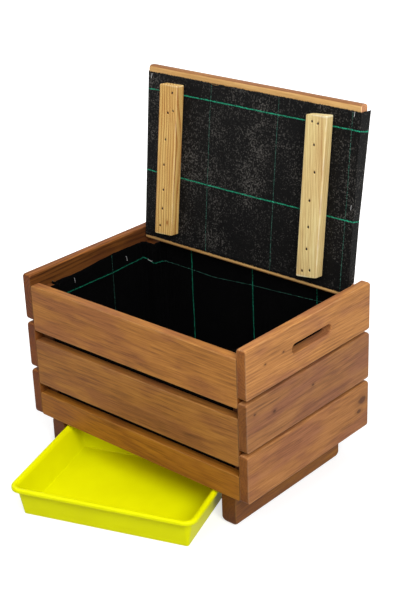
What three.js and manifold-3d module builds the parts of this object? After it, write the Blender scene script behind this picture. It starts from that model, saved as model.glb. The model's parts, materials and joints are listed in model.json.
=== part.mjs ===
// A wormery: a stained wooden crate on two foot rails, lined with black woven cloth. Its lid swings
// on two hidden pins and stands open, and a shallow drip tray lies on the ground, half under the crate.
//
// Millimetres, Z up. The crate is drawn in its own frame: X to the right from its middle, Y to the
// back from the faces of its front boards, Z up from the ground. At the end everything moves so that
// the origin lies on the ground under the middle of the whole object.

import * as THREE from 'three';
import { mergeVertices } from 'three/addons/utils/BufferGeometryUtils.js';
import Module from 'manifold-3d';

const wasm = await Module();
wasm.setup();

// Clearances
const seat = 0.3;              // gap left between fixed pieces that touch
const runningGap = 0.3;        // around a pin that turns or slides in its hole
const layerGap = 0.2;          // between the lid, its cloth and its battens
const overrun = 2;             // how far a cutting shape passes the face that it cuts

// Crate boards
const crateWidth = 550;        // over the outer faces of the side boards
const crateDepth = 360;        // length of a side board
const boardThickness = 20;
const boardWidth = 95;
const boardEdgeRound = 5;      // along the long edges, on a wall board the upper ones
const boardLowerRound = 1;     // along the lower edges of a wall board
const sideCornerRound = 5;     // at the ends of a side board, seen from the side
const frontCornerRound = 4;    // at the ends of a front or back board
const sideGap = 7;             // between two side boards
const frontGap = 19.5;         // between two front boards

// Handle slots in the top side boards
const slotLength = 115;
const slotHeight = 20;
const slotBack = 3.5;          // from the board's middle to the slot's, towards the back

// Corner posts, floor and foot rails
const postSide = 28;
const postEdgeRound = 2;
const floorGap = 17.2;         // between two of the three floor boards
const floorBoardThickness = 20;
const railHeight = 66;
const railWidth = 33;
const railInset = 38;          // from a side board's outer face to the rail's outer face
const railFrontInset = 9;
const railRearInset = 41;
const railEdgeRound = 8;
const railEndRound = 8;

// Screws that hold the floor boards on the rails
const screwLength = 50;
const screwShankRadius = 2;
const screwHeadRadius = 4;
const screwHeadDepth = 3;
const screwTipLength = 6;
const screwSink = 1;

// Lid
const lidOverhang = 5.5;       // how far the shut lid stands out in front of the crate
const lidThickness = 19;
const lidEndGap = 1.5;         // between a lid end and the side board beside it
const lidSwingRoom = 1.2;      // between the lid's rear edge, as it swings, and the wood below it
const lidBoardCount = 4;
const lidJointGap = 0.8;
const lidOuterRound = 6;       // at the lid's front and rear edges
const lidJointRound = 2;
const lidEndRound = 2;
const lidLeanDegrees = 5.9;    // how far the open lid leans back past upright
const pivotRearInset = 20.5;   // from the lid's rear edge to its pivot
const pivotTopInset = 6;       // from the lid's top face to its pivot
const pivotBackInset = 28;     // from the crate's back to the pivot

// Pivot pins and stop pins
const pinRadius = 2.5;
const pinInLid = 25;
const pinInBoard = 10;
const pinHoleEnd = 1;          // spare depth past the end of a pin
const stopPinRearInset = 7.5;  // from the lid's rear edge to a stop pin

// Lid cloth
const lidClothThickness = 0.8;
const lidClothFrontMargin = 12.6;
const lidClothRearMargin = 9;
const flapRearMargin = 25.5;   // the end flaps start this far from the lid's rear edge
const flapRearTop = -6;        // top of a flap above the lid's outer face, at its rear end
const flapMiddleTop = 0;       // the same at flapMiddle
const flapFrontTop = 10;       // the same at its front end
const flapMiddle = 141;        // from the lid's rear edge

// Battens
const battenWidth = 47;
const battenThickness = 21;
const battenRearMargin = 27;   // from the lid's rear edge to the battens
const battenFrontMargin = 31;  // from the battens to the lid's front edge
const battenEdgeRound = 4;
const battenEndRound = 3;
const battens = {              // endInset runs from the lid's end to the batten's middle line
  left: { sign: -1, endInset: 70, skewDegrees: 0.8 },
  right: { sign: 1, endInset: 80, skewDegrees: 0.1 },
};

// Nails through the battens. Places are shares of the batten's length from its rear end, and of its
// width from its middle line.
const nailLength = 32;
const nailShankRadius = 1.3;
const nailHeadRadius = 2.4;
const nailHeadDepth = 1.2;
const nailTipLength = 4;
const nailSink = 0.8;
const nailShares = {
  left: [[0.06, -0.2], [0.18, -0.1], [0.31, -0.08], [0.48, -0.1], [0.65, -0.06], [0.83, 0.02],
    [0.85, 0.3], [0.965, 0.22]],
  right: [[0.035, -0.2], [0.05, 0.16], [0.18, -0.05], [0.32, -0.04], [0.485, -0.06], [0.665, 0.09],
    [0.83, -0.02], [0.96, 0.1], [0.967, -0.18]],
};

// Crate lining
const liningThickness = 1.2;
const liningRearDrop = 1.5;    // below the tops of the posts, at the back
const liningFrontDrop = 12;    // the same at the front
const liningCornerRound = 8;
const foldDepth = 4;           // folds where the cloth is pushed in beside the posts
const foldPitch = 13;
const foldReach = 34;          // how far from a post the folds run along the walls
const waveDepth = 1.5;         // slack waves of the walls between the folds
const wavePitch = 120;

// Drip tray
const traySideRoom = 21.5;     // on each side, when the tray stands straight between the rails
const trayHeadRoom = 3.5;      // between the rim and the boards above it
const trayDepth = 286;
const trayWall = 2.6;
const trayFloor = 3;
const trayCornerRound = 24;    // at the rim's edge, and less on a wall by as much as it stands in
const trayLeastRound = 2.6;    // at the corners of the floor
const trayTaper = 19.5;        // from the rim's edge in to the base's edge
const trayRimWidth = 9.5;      // from its edge in to the wall below it
const trayRimHeight = 7.6;
const trayRimRound = 3.4;      // along the rim's upper edge
const trayLipRound = 2.2;      // along its lower edge
const trayMouthRound = 4;      // along its inner edge
const trayBaseRound = 2;       // along the base's edge
const trayFloorRound = 9;      // where the walls meet the floor inside
const trayRailGap = 6.5;       // between its rear left corner and the left rail
const trayPull = 26.9;         // from the crate's front face out to the tray's middle
const trayYawDegrees = 19.5;

// Facets
const edgeSegments = 3;
const cornerSegments = 4;
const slotSegments = 8;
const holeSegments = 8;
const pinSegments = 12;
const grooveSegments = 12;

// Places worked out from the sizes above
const degrees = Math.PI / 180;
const wallHeight = 3 * boardWidth + 2 * sideGap;
const crateTop = railHeight + wallHeight;
const innerHalfWidth = crateWidth / 2 - boardThickness;
const innerFront = boardThickness;
const innerBack = crateDepth - boardThickness;
const floorTop = railHeight + floorBoardThickness;
const floorBoardWidth = (innerBack - innerFront - 2 * (seat + floorGap)) / 3;
const railOuterX = crateWidth / 2 - railInset;
const railX = railOuterX - railWidth / 2;
const railInnerX = railOuterX - railWidth;

// The lid's own frame has its origin on the pivot, with the lid shut
const pivotY = crateDepth - pivotBackInset;
const pivotZ = crateTop - pivotTopInset;
const lidHalfLength = innerHalfWidth - lidEndGap;
const lidTop = pivotTopInset;
const lidUnderside = lidTop - lidThickness;
const lidRear = pivotRearInset;
const lidFront = -pivotY - lidOverhang;
const lidDepth = lidRear - lidFront;
const clothTop = lidUnderside - layerGap;
const clothBottom = clothTop - lidClothThickness;
const battenLength = lidDepth - battenRearMargin - battenFrontMargin;
const battenTop = clothBottom - layerGap;
const battenBottom = battenTop - battenThickness;

// How far the front boards, and the back boards and corner posts, end below the crate's top
const frontDrop = lidTop - clothBottom + seat;
const backDrop = pivotTopInset + Math.hypot(lidRear, lidUnderside) + lidSwingRoom;
const lastBoardWidth = wallHeight - frontDrop - 2 * (boardWidth + frontGap);
const backGap = (wallHeight - backDrop - 2 * boardWidth - lastBoardWidth) / 2;
const postTop = crateTop - backDrop;
const postInnerX = innerHalfWidth - seat - postSide;

// The drip tray's outer size and place
const trayWidth = 2 * (railInnerX - traySideRoom);
const trayHeight = railHeight - trayHeadRoom;
const trayYaw = trayYawDegrees * degrees;
const trayReach = (trayWidth / 2 - trayCornerRound) * Math.cos(trayYaw)
  + (trayDepth / 2 - trayCornerRound) * Math.sin(trayYaw) + trayCornerRound;
const trayX = trayReach + trayRailGap - railInnerX;

// Materials
const paint = (color, roughness, metalness = 0) =>
  new THREE.MeshStandardMaterial({ color, roughness, metalness, flatShading: true });
const stainedWood = paint(0xa3703f, 0.6);
const rawWood = paint(0xdcc090, 0.7);
const blackCloth = paint(0x141414, 0.85);
const limePlastic = paint(0xdedc08, 0.35);
const steel = paint(0x8c8c8c, 0.4, 1);

// Solids
const unitX = new THREE.Vector3(1, 0, 0);
const unitY = new THREE.Vector3(0, 1, 0);
const unitZ = new THREE.Vector3(0, 0, 1);
const lengthAlongX = new THREE.Matrix4().makeBasis(unitY, unitZ, unitX);
const depthAlongY = new THREE.Matrix4().makeBasis(unitX, unitZ, unitY.clone().negate());

function toSolid(geometry) {
  geometry.deleteAttribute('normal');
  geometry.deleteAttribute('uv');
  const merged = mergeVertices(geometry);
  const vertProperties = new Float32Array(merged.attributes.position.array);
  const triVerts = new Uint32Array(merged.index.array);
  return new wasm.Manifold(new wasm.Mesh({ numProp: 3, vertProperties, triVerts }));
}

function toGeometry(solid) {
  const mesh = solid.getMesh();
  const geometry = new THREE.BufferGeometry();
  geometry.setAttribute('position', new THREE.BufferAttribute(mesh.vertProperties, 3));
  geometry.setIndex(new THREE.BufferAttribute(mesh.triVerts, 1));
  return geometry;
}

// A rectangle round the origin. Its corner radii run from lower left, counter-clockwise.
function roundedRect(width, height, radii) {
  const [lowerLeft, lowerRight, upperRight, upperLeft] = radii;
  const x = width / 2;
  const y = height / 2;
  const quarter = Math.PI / 2;
  const shape = new THREE.Shape();
  shape.moveTo(lowerLeft - x, -y);
  shape.absarc(x - lowerRight, lowerRight - y, lowerRight, -quarter, 0, false);
  shape.absarc(x - upperRight, y - upperRight, upperRight, 0, quarter, false);
  shape.absarc(upperLeft - x, y - upperLeft, upperLeft, quarter, 2 * quarter, false);
  shape.absarc(lowerLeft - x, lowerLeft - y, lowerLeft, 2 * quarter, 3 * quarter, false);
  return shape;
}

function prism(shape, depth, curveSegments) {
  const geometry = new THREE.ExtrudeGeometry(shape, { depth, curveSegments, bevelEnabled: false });
  return geometry.translate(0, 0, -depth / 2);
}

// A planed board: X along it, Y through it, Z across it. edgeRounds are the radii of its section, in
// the order of roundedRect with its thickness as width.
function board({ length, width, thickness, edgeRounds, cornerRound }) {
  const section = prism(roundedRect(thickness, width, edgeRounds), length + 2 * overrun, edgeSegments);
  const face = prism(roundedRect(length, width, Array(4).fill(cornerRound)),
    thickness + 2 * overrun, cornerSegments);
  return toSolid(section.applyMatrix4(lengthAlongX)).intersect(toSolid(face.applyMatrix4(depthAlongY)));
}

function cylinder(radius, length, segments) {
  return new THREE.CylinderGeometry(radius, radius, length, segments);
}

// A nail or screw on the Y axis, its head's face at zero and its tip below. spare makes it a drill.
function fastener({ length, shank, head, headDepth, tip, taper }, spare = 0, above = 0) {
  const underHead = -headDepth - spare;
  const profile = [
    [0, -length - spare],
    [shank + spare, tip - length],
    [shank + spare, underHead],
    [head + spare, taper ? 0 : underHead],
    [head + spare, above],
    [0, above],
  ].map(([x, y]) => new THREE.Vector2(x, y));
  const distinct = profile.filter((p, i) => i === 0 || p.distanceTo(profile[i - 1]) > 0);
  return new THREE.LatheGeometry(distinct, holeSegments);
}

const screw = { length: screwLength, shank: screwShankRadius, head: screwHeadRadius,
  headDepth: screwHeadDepth, tip: screwTipLength, taper: true };
const nail = { length: nailLength, shank: nailShankRadius, head: nailHeadRadius,
  headDepth: nailHeadDepth, tip: nailTipLength, taper: false };

const model = new THREE.Group();

function add(parent, name, solid, material, place = {}) {
  const geometry = solid.isBufferGeometry ? solid : toGeometry(solid);
  const mesh = new THREE.Mesh(geometry, material);
  mesh.name = name;
  mesh.position.set(place.x ?? 0, place.y ?? 0, place.z ?? 0);
  mesh.rotation.set(place.turnX ?? 0, place.turnY ?? 0, place.turnZ ?? 0);
  parent.add(mesh);
  return mesh;
}

// Side boards. The top ones have a handle slot right through, a blind hole for the pivot pin and a
// blind arc that the stop pin runs in, so that the lid stops where it is open and where it is shut.
const levels = ['top', 'middle', 'bottom'];
const stopPinY = lidRear - stopPinRearInset;
const stopPinZ = (lidTop + lidUnderside) / 2;
const openTurn = -(90 + lidLeanDegrees) * degrees;

const wallBoardRounds = [boardLowerRound, boardLowerRound, boardEdgeRound, boardEdgeRound];

function sideBoard() {
  return board({
    length: crateDepth, width: boardWidth, thickness: boardThickness,
    edgeRounds: wallBoardRounds, cornerRound: sideCornerRound,
  });
}

// alongSign is 1 where the board's X axis runs to the back of the crate
function handleSlot(alongSign) {
  const stadium = roundedRect(slotLength, slotHeight, Array(4).fill(slotHeight / 2));
  return toSolid(prism(stadium, boardThickness + 2 * overrun, slotSegments).applyMatrix4(depthAlongY)
    .translate(alongSign * slotBack, 0, 0));
}

function grooveShape() {
  const radius = Math.hypot(stopPinY, stopPinZ);
  const half = pinRadius + runningGap;
  const shut = Math.atan2(stopPinZ, stopPinY);
  const open = shut + openTurn;
  const end = (angle) => [radius * Math.cos(angle), radius * Math.sin(angle)];
  const shape = new THREE.Shape();
  shape.absarc(0, 0, radius + half, open, shut, false);
  shape.absarc(...end(shut), half, shut, shut + Math.PI, false);
  shape.absarc(0, 0, radius - half, shut, open, true);
  shape.absarc(...end(open), half, open + Math.PI, open + 2 * Math.PI, false);
  return shape;
}

// The hole and the arc, about the pivot, in a board whose Y axis runs from its inner to its outer
// face. alongSign is as for the handle slot.
function pinRecess(alongSign) {
  const depth = pinInBoard + pinHoleEnd + overrun;
  const y = -boardThickness / 2 - overrun + depth / 2;
  const hole = cylinder(pinRadius + runningGap, depth, pinSegments).translate(0, y, 0);
  const arc = prism(grooveShape(), depth, grooveSegments).applyMatrix4(depthAlongY).translate(0, y, 0);
  const cut = toSolid(hole).add(toSolid(arc));
  const along = alongSign * (pivotY - crateDepth / 2);
  const across = boardWidth / 2 - pivotTopInset;
  return cut.scale([alongSign, 1, 1]).translate([along, 0, across]);
}

for (const [side, sign] of [['left', -1], ['right', 1]]) {
  for (const [i, level] of levels.entries()) {
    const plain = sideBoard();
    const solid = level === 'top' ? plain.subtract(handleSlot(-sign)).subtract(pinRecess(-sign)) : plain;
    add(model, `side_board_${side}_${level}`, solid, stainedWood, {
      x: sign * (crateWidth - boardThickness) / 2,
      y: crateDepth / 2,
      z: crateTop - boardWidth / 2 - i * (boardWidth + sideGap),
      turnZ: -sign * Math.PI / 2,
    });
  }
}

// Front and back boards, between the side boards. The lowest one is narrow.
function crossBoards(panel, y, drop, gap) {
  let top = crateTop - drop;
  for (const level of levels) {
    const width = level === 'bottom' ? lastBoardWidth : boardWidth;
    const solid = board({
      length: 2 * (innerHalfWidth - seat), width, thickness: boardThickness,
      edgeRounds: wallBoardRounds, cornerRound: frontCornerRound,
    });
    add(model, `${panel}_board_${level}`, solid, stainedWood, { y, z: top - width / 2 });
    top -= width + gap;
  }
}
crossBoards('front', boardThickness / 2, frontDrop, frontGap);
crossBoards('back', crateDepth - boardThickness / 2, backDrop, backGap);

// Corner posts, which stand on the floor boards and hold the walls together
const postYs = { front: innerFront + seat + postSide / 2, rear: innerBack - seat - postSide / 2 };
for (const [end, y] of Object.entries(postYs)) {
  for (const [side, sign] of [['left', -1], ['right', 1]]) {
    const height = postTop - floorTop - seat;
    const solid = board({
      length: height, width: postSide, thickness: postSide,
      edgeRounds: Array(4).fill(postEdgeRound), cornerRound: postEdgeRound,
    });
    add(model, `corner_post_${end}_${side}`, solid, stainedWood, {
      x: sign * (postInnerX + postSide / 2), y, z: postTop - height / 2, turnY: -Math.PI / 2,
    });
  }
}

// Floor boards, with gaps that let the liquid through, screwed down on the foot rails
const floorLength = 2 * (innerHalfWidth - seat);
const floorFirstY = innerFront + seat + floorBoardWidth / 2;
const floorLastY = innerBack - seat - floorBoardWidth / 2;
const floorYs = [floorFirstY, (floorFirstY + floorLastY) / 2, floorLastY];
const screwTop = floorTop - screwSink;
const drill = (x, y) => toSolid(fastener(screw, runningGap, screwSink + overrun))
  .rotate([90, 0, 0]).translate([x, y, screwTop]);

for (const [i, name] of ['front', 'middle', 'rear'].entries()) {
  const plain = board({
    length: floorLength, width: floorBoardWidth, thickness: floorBoardThickness,
    edgeRounds: Array(4).fill(boardEdgeRound), cornerRound: frontCornerRound,
  }).rotate([90, 0, 0]).translate([0, floorYs[i], floorTop - floorBoardThickness / 2]);
  const solid = plain.subtract(drill(-railX, floorYs[i])).subtract(drill(railX, floorYs[i]));
  add(model, `floor_board_${name}`, solid, stainedWood);
}

const railLength = crateDepth - railFrontInset - railRearInset;
const railY = railFrontInset + railLength / 2;
for (const [side, sign] of [['left', -1], ['right', 1]]) {
  const height = railHeight - seat;
  let solid = board({
    length: railLength, width: height, thickness: railWidth,
    edgeRounds: Array(4).fill(railEdgeRound), cornerRound: railEndRound,
  }).rotate([0, 0, 90]).translate([sign * railX, railY, height / 2]);
  for (const y of floorYs) solid = solid.subtract(drill(sign * railX, y));
  add(model, `foot_rail_${side}`, solid, stainedWood);
  for (const [i, name] of ['front', 'middle', 'rear'].entries()) {
    add(model, `floor_screw_${side}_${name}`, fastener(screw), steel, {
      x: sign * railX, y: floorYs[i], z: screwTop, turnX: Math.PI / 2,
    });
  }
}

// The lining: one bag of woven cloth that follows the walls and steps round the corner posts, with
// upright folds beside each post and slack waves between them.
function liningCorners() {
  const wallX = innerHalfWidth - seat;
  const postX = postInnerX - seat;
  const wallY = (innerBack - innerFront) / 2 - seat;
  const postY = wallY - postSide - seat;
  const quarter = [[wallX, postY], [postX, postY], [postX, wallY]];
  const flip = (sx, sy) => ([x, y]) => [sx * x, sy * y];
  return [
    ...quarter.map(flip(1, 1)),
    ...quarter.map(flip(-1, 1)).reverse(),
    ...quarter.map(flip(-1, -1)),
    ...quarter.map(flip(1, -1)).reverse(),
  ].map(([x, y]) => new THREE.Vector2(x, y));
}

// Points round the wall with the inward normal and the distance from the nearest post, on the outer
// face of the cloth. A corner that points into the crate is a post's edge, and the others are round.
function liningPath() {
  const corners = liningCorners();
  const points = [];
  for (const [i, corner] of corners.entries()) {
    const before = corners[(i + corners.length - 1) % corners.length];
    const after = corners[(i + 1) % corners.length];
    const into = corner.clone().sub(before).normalize();
    const out = after.clone().sub(corner).normalize();
    const edge = into.cross(out) < 0;
    const inward = (direction) => new THREE.Vector2(-direction.y, direction.x);
    const nearPost = corner.distanceTo(after) <= postSide + 2 * seat;
    if (edge) {
      points.push({ point: corner, inward: inward(into).add(inward(out)), fold: 0 });
    } else {
      const centre = corner.clone().addScaledVector(into, -liningCornerRound)
        .addScaledVector(out, liningCornerRound);
      for (let k = 0; k <= cornerSegments; k += 1) {
        const turn = (k / cornerSegments) * Math.PI / 2;
        const normal = inward(into).rotateAround(new THREE.Vector2(), turn);
        const point = centre.clone().addScaledVector(normal, -liningCornerRound);
        points.push({ point, inward: normal, fold: 0 });
      }
    }
    const start = edge ? corner : corner.clone().addScaledVector(out, liningCornerRound);
    const nextEdge = out.cross(corners[(i + 2) % corners.length].clone().sub(after)) < 0;
    const stop = nextEdge ? after : after.clone().addScaledVector(out, -liningCornerRound);
    if (!nearPost) points.push(...wallPoints(start, stop, out, inward(out)));
  }
  return points;
}

// Points along one wall: close together in the folds at both ends, wide apart between them
function wallPoints(start, stop, along, inward) {
  const length = start.distanceTo(stop);
  const folds = Math.round(foldReach / foldPitch);
  const step = foldPitch / 4;
  const places = [];
  for (let k = 1; k <= 4 * folds; k += 1) {
    const depth = foldDepth * (1 - Math.cos((k * Math.PI) / 2)) / 2;
    places.push([k * step, depth], [length - k * step, depth]);
  }
  const middle = length - 8 * folds * step;
  const waves = Math.max(1, Math.round(middle / wavePitch));
  for (let k = 1; k < 4 * waves; k += 1) {
    const depth = waveDepth * (1 - Math.cos((k * Math.PI) / 2)) / 2;
    places.push([4 * folds * step + (k / (4 * waves)) * middle, depth]);
  }
  places.sort(([a], [b]) => a - b);
  return places.map(([place, fold]) => ({
    point: start.clone().addScaledVector(along, place), inward, fold,
  }));
}

// Outside up, over the top edge, and inside down to the bag's floor. The folds die out at the floor.
function lining() {
  const path = liningPath();
  const middleY = (innerFront + innerBack) / 2;
  const wallY = (innerBack - innerFront) / 2;
  const topAt = (y) => THREE.MathUtils.mapLinear(y, -wallY, wallY,
    postTop - liningFrontDrop, postTop - liningRearDrop);
  const place = ({ point, inward }, set, z) =>
    new THREE.Vector3(point.x + inward.x * set, middleY + point.y + inward.y * set, z);
  const foot = (set) => path.map((p) => place(p, set, floorTop + seat + set));
  const head = (set) => path.map((p) => place(p, p.fold + set, topAt(p.point.y)));
  return closedLoft([foot(0), head(0), head(liningThickness), foot(liningThickness)]);
}

// A closed body from rings of points of the same count, with flat caps on the first and the last
function closedLoft(rings) {
  const count = rings[0].length;
  const positions = rings.flat().flatMap((p) => [p.x, p.y, p.z]);
  const index = [];
  for (let r = 0; r + 1 < rings.length; r += 1) {
    for (let k = 0; k < count; k += 1) {
      const next = (k + 1) % count;
      const [a, b] = [r * count + k, r * count + next];
      index.push(a, b, b + count, a, b + count, a + count);
    }
  }
  const cap = (ringNumber, flip) => {
    const outline = rings[ringNumber].map((p) => new THREE.Vector2(p.x, p.y));
    for (const [a, b, c] of THREE.ShapeUtils.triangulateShape(outline, [])) {
      const corners = [a, b, c].map((k) => ringNumber * count + k);
      index.push(...(flip ? corners.reverse() : corners));
    }
  };
  cap(0, true);
  cap(rings.length - 1, false);
  const geometry = new THREE.BufferGeometry();
  geometry.setAttribute('position', new THREE.Float32BufferAttribute(positions, 3));
  geometry.setIndex(index);
  return geometry;
}
add(model, 'crate_lining', lining(), blackCloth);

// The lid, drawn shut with its pivot at the origin, then turned open about the pivot
const lid = new THREE.Group();
lid.position.set(0, pivotY, pivotZ);
lid.rotation.x = openTurn;
model.add(lid);

function battenPlace(side, alongShare, acrossShare) {
  const { sign, endInset, skewDegrees } = battens[side];
  const offset = new THREE.Vector2(
    acrossShare * battenWidth, (1 / 2 - alongShare) * battenLength,
  ).rotateAround(new THREE.Vector2(), skewDegrees * degrees);
  return {
    x: sign * (lidHalfLength - endInset) + offset.x,
    y: lidRear - battenRearMargin - battenLength / 2 + offset.y,
  };
}

const nailPlaces = Object.entries(nailShares).flatMap(([side, list]) =>
  list.map(([along, across], i) => ({ side, number: i + 1, ...battenPlace(side, along, across) })));
const nailDrills = wasm.Manifold.union(nailPlaces.map(({ x, y }) =>
  toSolid(fastener(nail, runningGap, nailSink + overrun))
    .rotate([-90, 0, 0]).translate([x, y, battenBottom + nailSink])));

// Holes for the pivot pins and stop pins in the ends of the rear lid board
const pinLength = pinInLid + lidEndGap + pinInBoard;
const pinMiddleX = lidHalfLength - pinInLid + pinLength / 2;
const pinPlaces = [['pivot', 0, 0], ['stop', stopPinY, stopPinZ]];

function pinHoles() {
  const depth = pinInLid + pinHoleEnd + overrun;
  const x = lidHalfLength + overrun - depth / 2;
  return wasm.Manifold.union(pinPlaces.flatMap(([, y, z]) => [-1, 1].map((sign) =>
    toSolid(cylinder(pinRadius + runningGap, depth, pinSegments))
      .rotate([0, 0, 90]).translate([sign * x, y, z]))));
}

const lidBoardWidth = (lidDepth - (lidBoardCount - 1) * lidJointGap) / lidBoardCount;
for (let i = 0; i < lidBoardCount; i += 1) {
  const rearRound = i === 0 ? lidOuterRound : lidJointRound;
  const frontRound = i === lidBoardCount - 1 ? lidOuterRound : lidJointRound;
  const solid = board({
    length: 2 * lidHalfLength, width: lidBoardWidth, thickness: lidThickness,
    edgeRounds: [rearRound, rearRound, frontRound, frontRound], cornerRound: lidEndRound,
  }).rotate([90, 0, 0]).translate([
    0, lidRear - lidBoardWidth / 2 - i * (lidBoardWidth + lidJointGap), (lidTop + lidUnderside) / 2,
  ]).subtract(nailDrills);
  add(lid, `lid_board_${i + 1}`, i === 0 ? solid.subtract(pinHoles()) : solid, stainedWood);
}

for (const [name, y, z] of pinPlaces) {
  for (const [side, sign] of [['left', -1], ['right', 1]]) {
    add(lid, `lid_${name}_pin_${side}`, cylinder(pinRadius, pinLength, pinSegments), steel, {
      x: sign * pinMiddleX, y, z, turnZ: Math.PI / 2,
    });
  }
}

// The lid's cloth: a flat panel with a flap over each end of the lid. The flaps stand proud of the
// lid's outer face at the front and stop short of it at the rear.
function lidCloth() {
  const front = lidFront + lidClothFrontMargin;
  const rear = lidRear - lidClothRearMargin;
  const outerX = lidHalfLength + layerGap + lidClothThickness;
  const panel = new THREE.BoxGeometry(2 * outerX, rear - front, lidClothThickness)
    .translate(0, (front + rear) / 2, (clothTop + clothBottom) / 2);
  const outline = new THREE.Shape([
    [front, clothBottom],
    [lidRear - flapRearMargin, clothBottom],
    [lidRear - flapRearMargin, lidTop + flapRearTop],
    [lidRear - flapMiddle, lidTop + flapMiddleTop],
    [front, lidTop + flapFrontTop],
  ].map(([y, z]) => new THREE.Vector2(y, z)));
  let cloth = toSolid(panel);
  for (const sign of [-1, 1]) {
    const flap = prism(outline, lidClothThickness, 1).applyMatrix4(lengthAlongX);
    cloth = cloth.add(toSolid(flap).translate([sign * (outerX - lidClothThickness / 2), 0, 0]));
  }
  return cloth.subtract(nailDrills);
}
add(lid, 'lid_cloth', lidCloth(), blackCloth);

for (const [side, { skewDegrees }] of Object.entries(battens)) {
  const { x, y } = battenPlace(side, 1 / 2, 0);
  const solid = board({
    length: battenLength, width: battenWidth, thickness: battenThickness,
    edgeRounds: Array(4).fill(battenEdgeRound), cornerRound: battenEndRound,
  }).rotate([90, 0, 0]).rotate([0, 0, 90 + skewDegrees])
    .translate([x, y, (battenTop + battenBottom) / 2]).subtract(nailDrills);
  add(lid, `batten_${side}`, solid, rawWood);
}

for (const { side, number, x, y } of nailPlaces) {
  add(lid, `batten_nail_${side}_${number}`, fastener(nail), steel, {
    x, y, z: battenBottom + nailSink, turnX: -Math.PI / 2,
  });
}

// The drip tray: thin leaning walls, a floor with rounded edges and a round rim turned down outside.
// Its corners share one centre, so a ring further in has a smaller corner.
function trayRing(inset, z) {
  const radius = Math.max(trayCornerRound - inset, trayLeastRound);
  const shape = roundedRect(trayWidth - 2 * inset, trayDepth - 2 * inset, Array(4).fill(radius));
  const points = shape.getPoints(cornerSegments).slice(0, -1);
  const distinct = points.filter((p, i) => p.distanceTo(points.at(i - 1)) > runningGap);
  return distinct.map((p) => new THREE.Vector3(p.x, p.y, z));
}

// Rings round a quarter bend. Its start and end are each an inset and a height.
function trayBend([inset, z], [endInset, endZ], startsLevel) {
  return Array.from({ length: cornerSegments + 1 }, (_, k) => {
    const turn = (k / cornerSegments) * Math.PI / 2;
    const [ahead, aside] = [Math.sin(turn), 1 - Math.cos(turn)];
    return trayRing(inset + (endInset - inset) * (startsLevel ? ahead : aside),
      z + (endZ - z) * (startsLevel ? aside : ahead));
  });
}

function tray() {
  const rimUnderside = trayHeight - trayWall;
  const rimBottom = trayHeight - trayRimHeight;
  const mouthBottom = trayHeight - trayMouthRound;
  const filletTop = trayFloor + trayFloorRound;
  const lean = (trayTaper - trayRimWidth) / rimUnderside;
  const innerInset = (z) => trayTaper + trayWall - lean * z;
  const mouth = innerInset(mouthBottom);
  const fillet = innerInset(filletTop);
  return closedLoft([
    ...trayBend([trayTaper + trayBaseRound, 0], [trayTaper, trayBaseRound], true),
    trayRing(trayRimWidth, rimUnderside),
    trayRing(trayWall, rimUnderside),
    trayRing(trayWall, rimBottom),
    ...trayBend([trayLipRound, rimBottom], [0, rimBottom + trayLipRound], true),
    ...trayBend([0, trayHeight - trayRimRound], [trayRimRound, trayHeight], false),
    ...trayBend([mouth - trayMouthRound, trayHeight], [mouth, mouthBottom], true),
    ...trayBend([fillet, filletTop], [fillet + trayFloorRound, trayFloor], false),
  ]);
}
add(model, 'drip_tray', tray(), limePlastic, { x: trayX, y: -trayPull, turnZ: trayYaw });

// The origin goes on the ground under the middle of everything
model.updateMatrixWorld(true);
const box = new THREE.Box3().setFromObject(model, true);
const middle = box.getCenter(new THREE.Vector3());
const wormery = new THREE.Group();
model.position.set(-middle.x, -middle.y, -box.min.z);
wormery.add(model);

export default wormery;
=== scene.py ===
# The looks of a wooden wormery: stained boards, black woven cloth with green marker threads, pale
# battens and a lime drip tray. Every piece is made round the fixed frame, in its real place.
# Metres, Z up. MM turns the millimetres in which sizes are written into metres.

import json
import math
import random

import bmesh
import bpy
import numpy as np
from mathutils import Matrix, Vector, noise

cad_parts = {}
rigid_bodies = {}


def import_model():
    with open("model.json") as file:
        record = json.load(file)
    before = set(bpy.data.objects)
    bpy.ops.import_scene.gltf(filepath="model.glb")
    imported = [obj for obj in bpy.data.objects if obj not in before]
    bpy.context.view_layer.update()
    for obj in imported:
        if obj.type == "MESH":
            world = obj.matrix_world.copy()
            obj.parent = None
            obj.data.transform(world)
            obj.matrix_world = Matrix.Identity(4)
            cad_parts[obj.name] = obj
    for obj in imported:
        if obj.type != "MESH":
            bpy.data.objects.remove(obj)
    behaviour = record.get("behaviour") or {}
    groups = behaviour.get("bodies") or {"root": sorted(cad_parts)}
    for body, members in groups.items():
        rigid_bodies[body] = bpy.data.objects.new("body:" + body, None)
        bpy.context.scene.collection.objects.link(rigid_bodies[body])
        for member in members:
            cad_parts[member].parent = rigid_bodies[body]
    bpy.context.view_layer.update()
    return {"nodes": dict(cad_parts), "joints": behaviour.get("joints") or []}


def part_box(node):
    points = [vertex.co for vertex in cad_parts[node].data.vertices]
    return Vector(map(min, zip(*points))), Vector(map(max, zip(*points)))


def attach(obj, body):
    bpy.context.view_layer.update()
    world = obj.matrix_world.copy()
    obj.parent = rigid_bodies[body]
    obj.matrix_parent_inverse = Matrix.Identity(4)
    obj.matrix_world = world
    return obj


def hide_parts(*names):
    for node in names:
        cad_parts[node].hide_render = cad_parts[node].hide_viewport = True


for thing in list(bpy.data.objects):
    bpy.data.objects.remove(thing)
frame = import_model()
nodes = frame["nodes"]
joints = {joint["name"]: joint for joint in frame["joints"]}
scene = bpy.context.scene
MM = 0.001
QUARTER = math.pi / 2
ALONG_X = Vector((1, 0, 0))
ALONG_Y = Vector((0, 1, 0))
ALONG_Z = Vector((0, 0, 1))
SIDES = ("left", "right")
LEVELS = ("top", "middle", "bottom")

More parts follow.
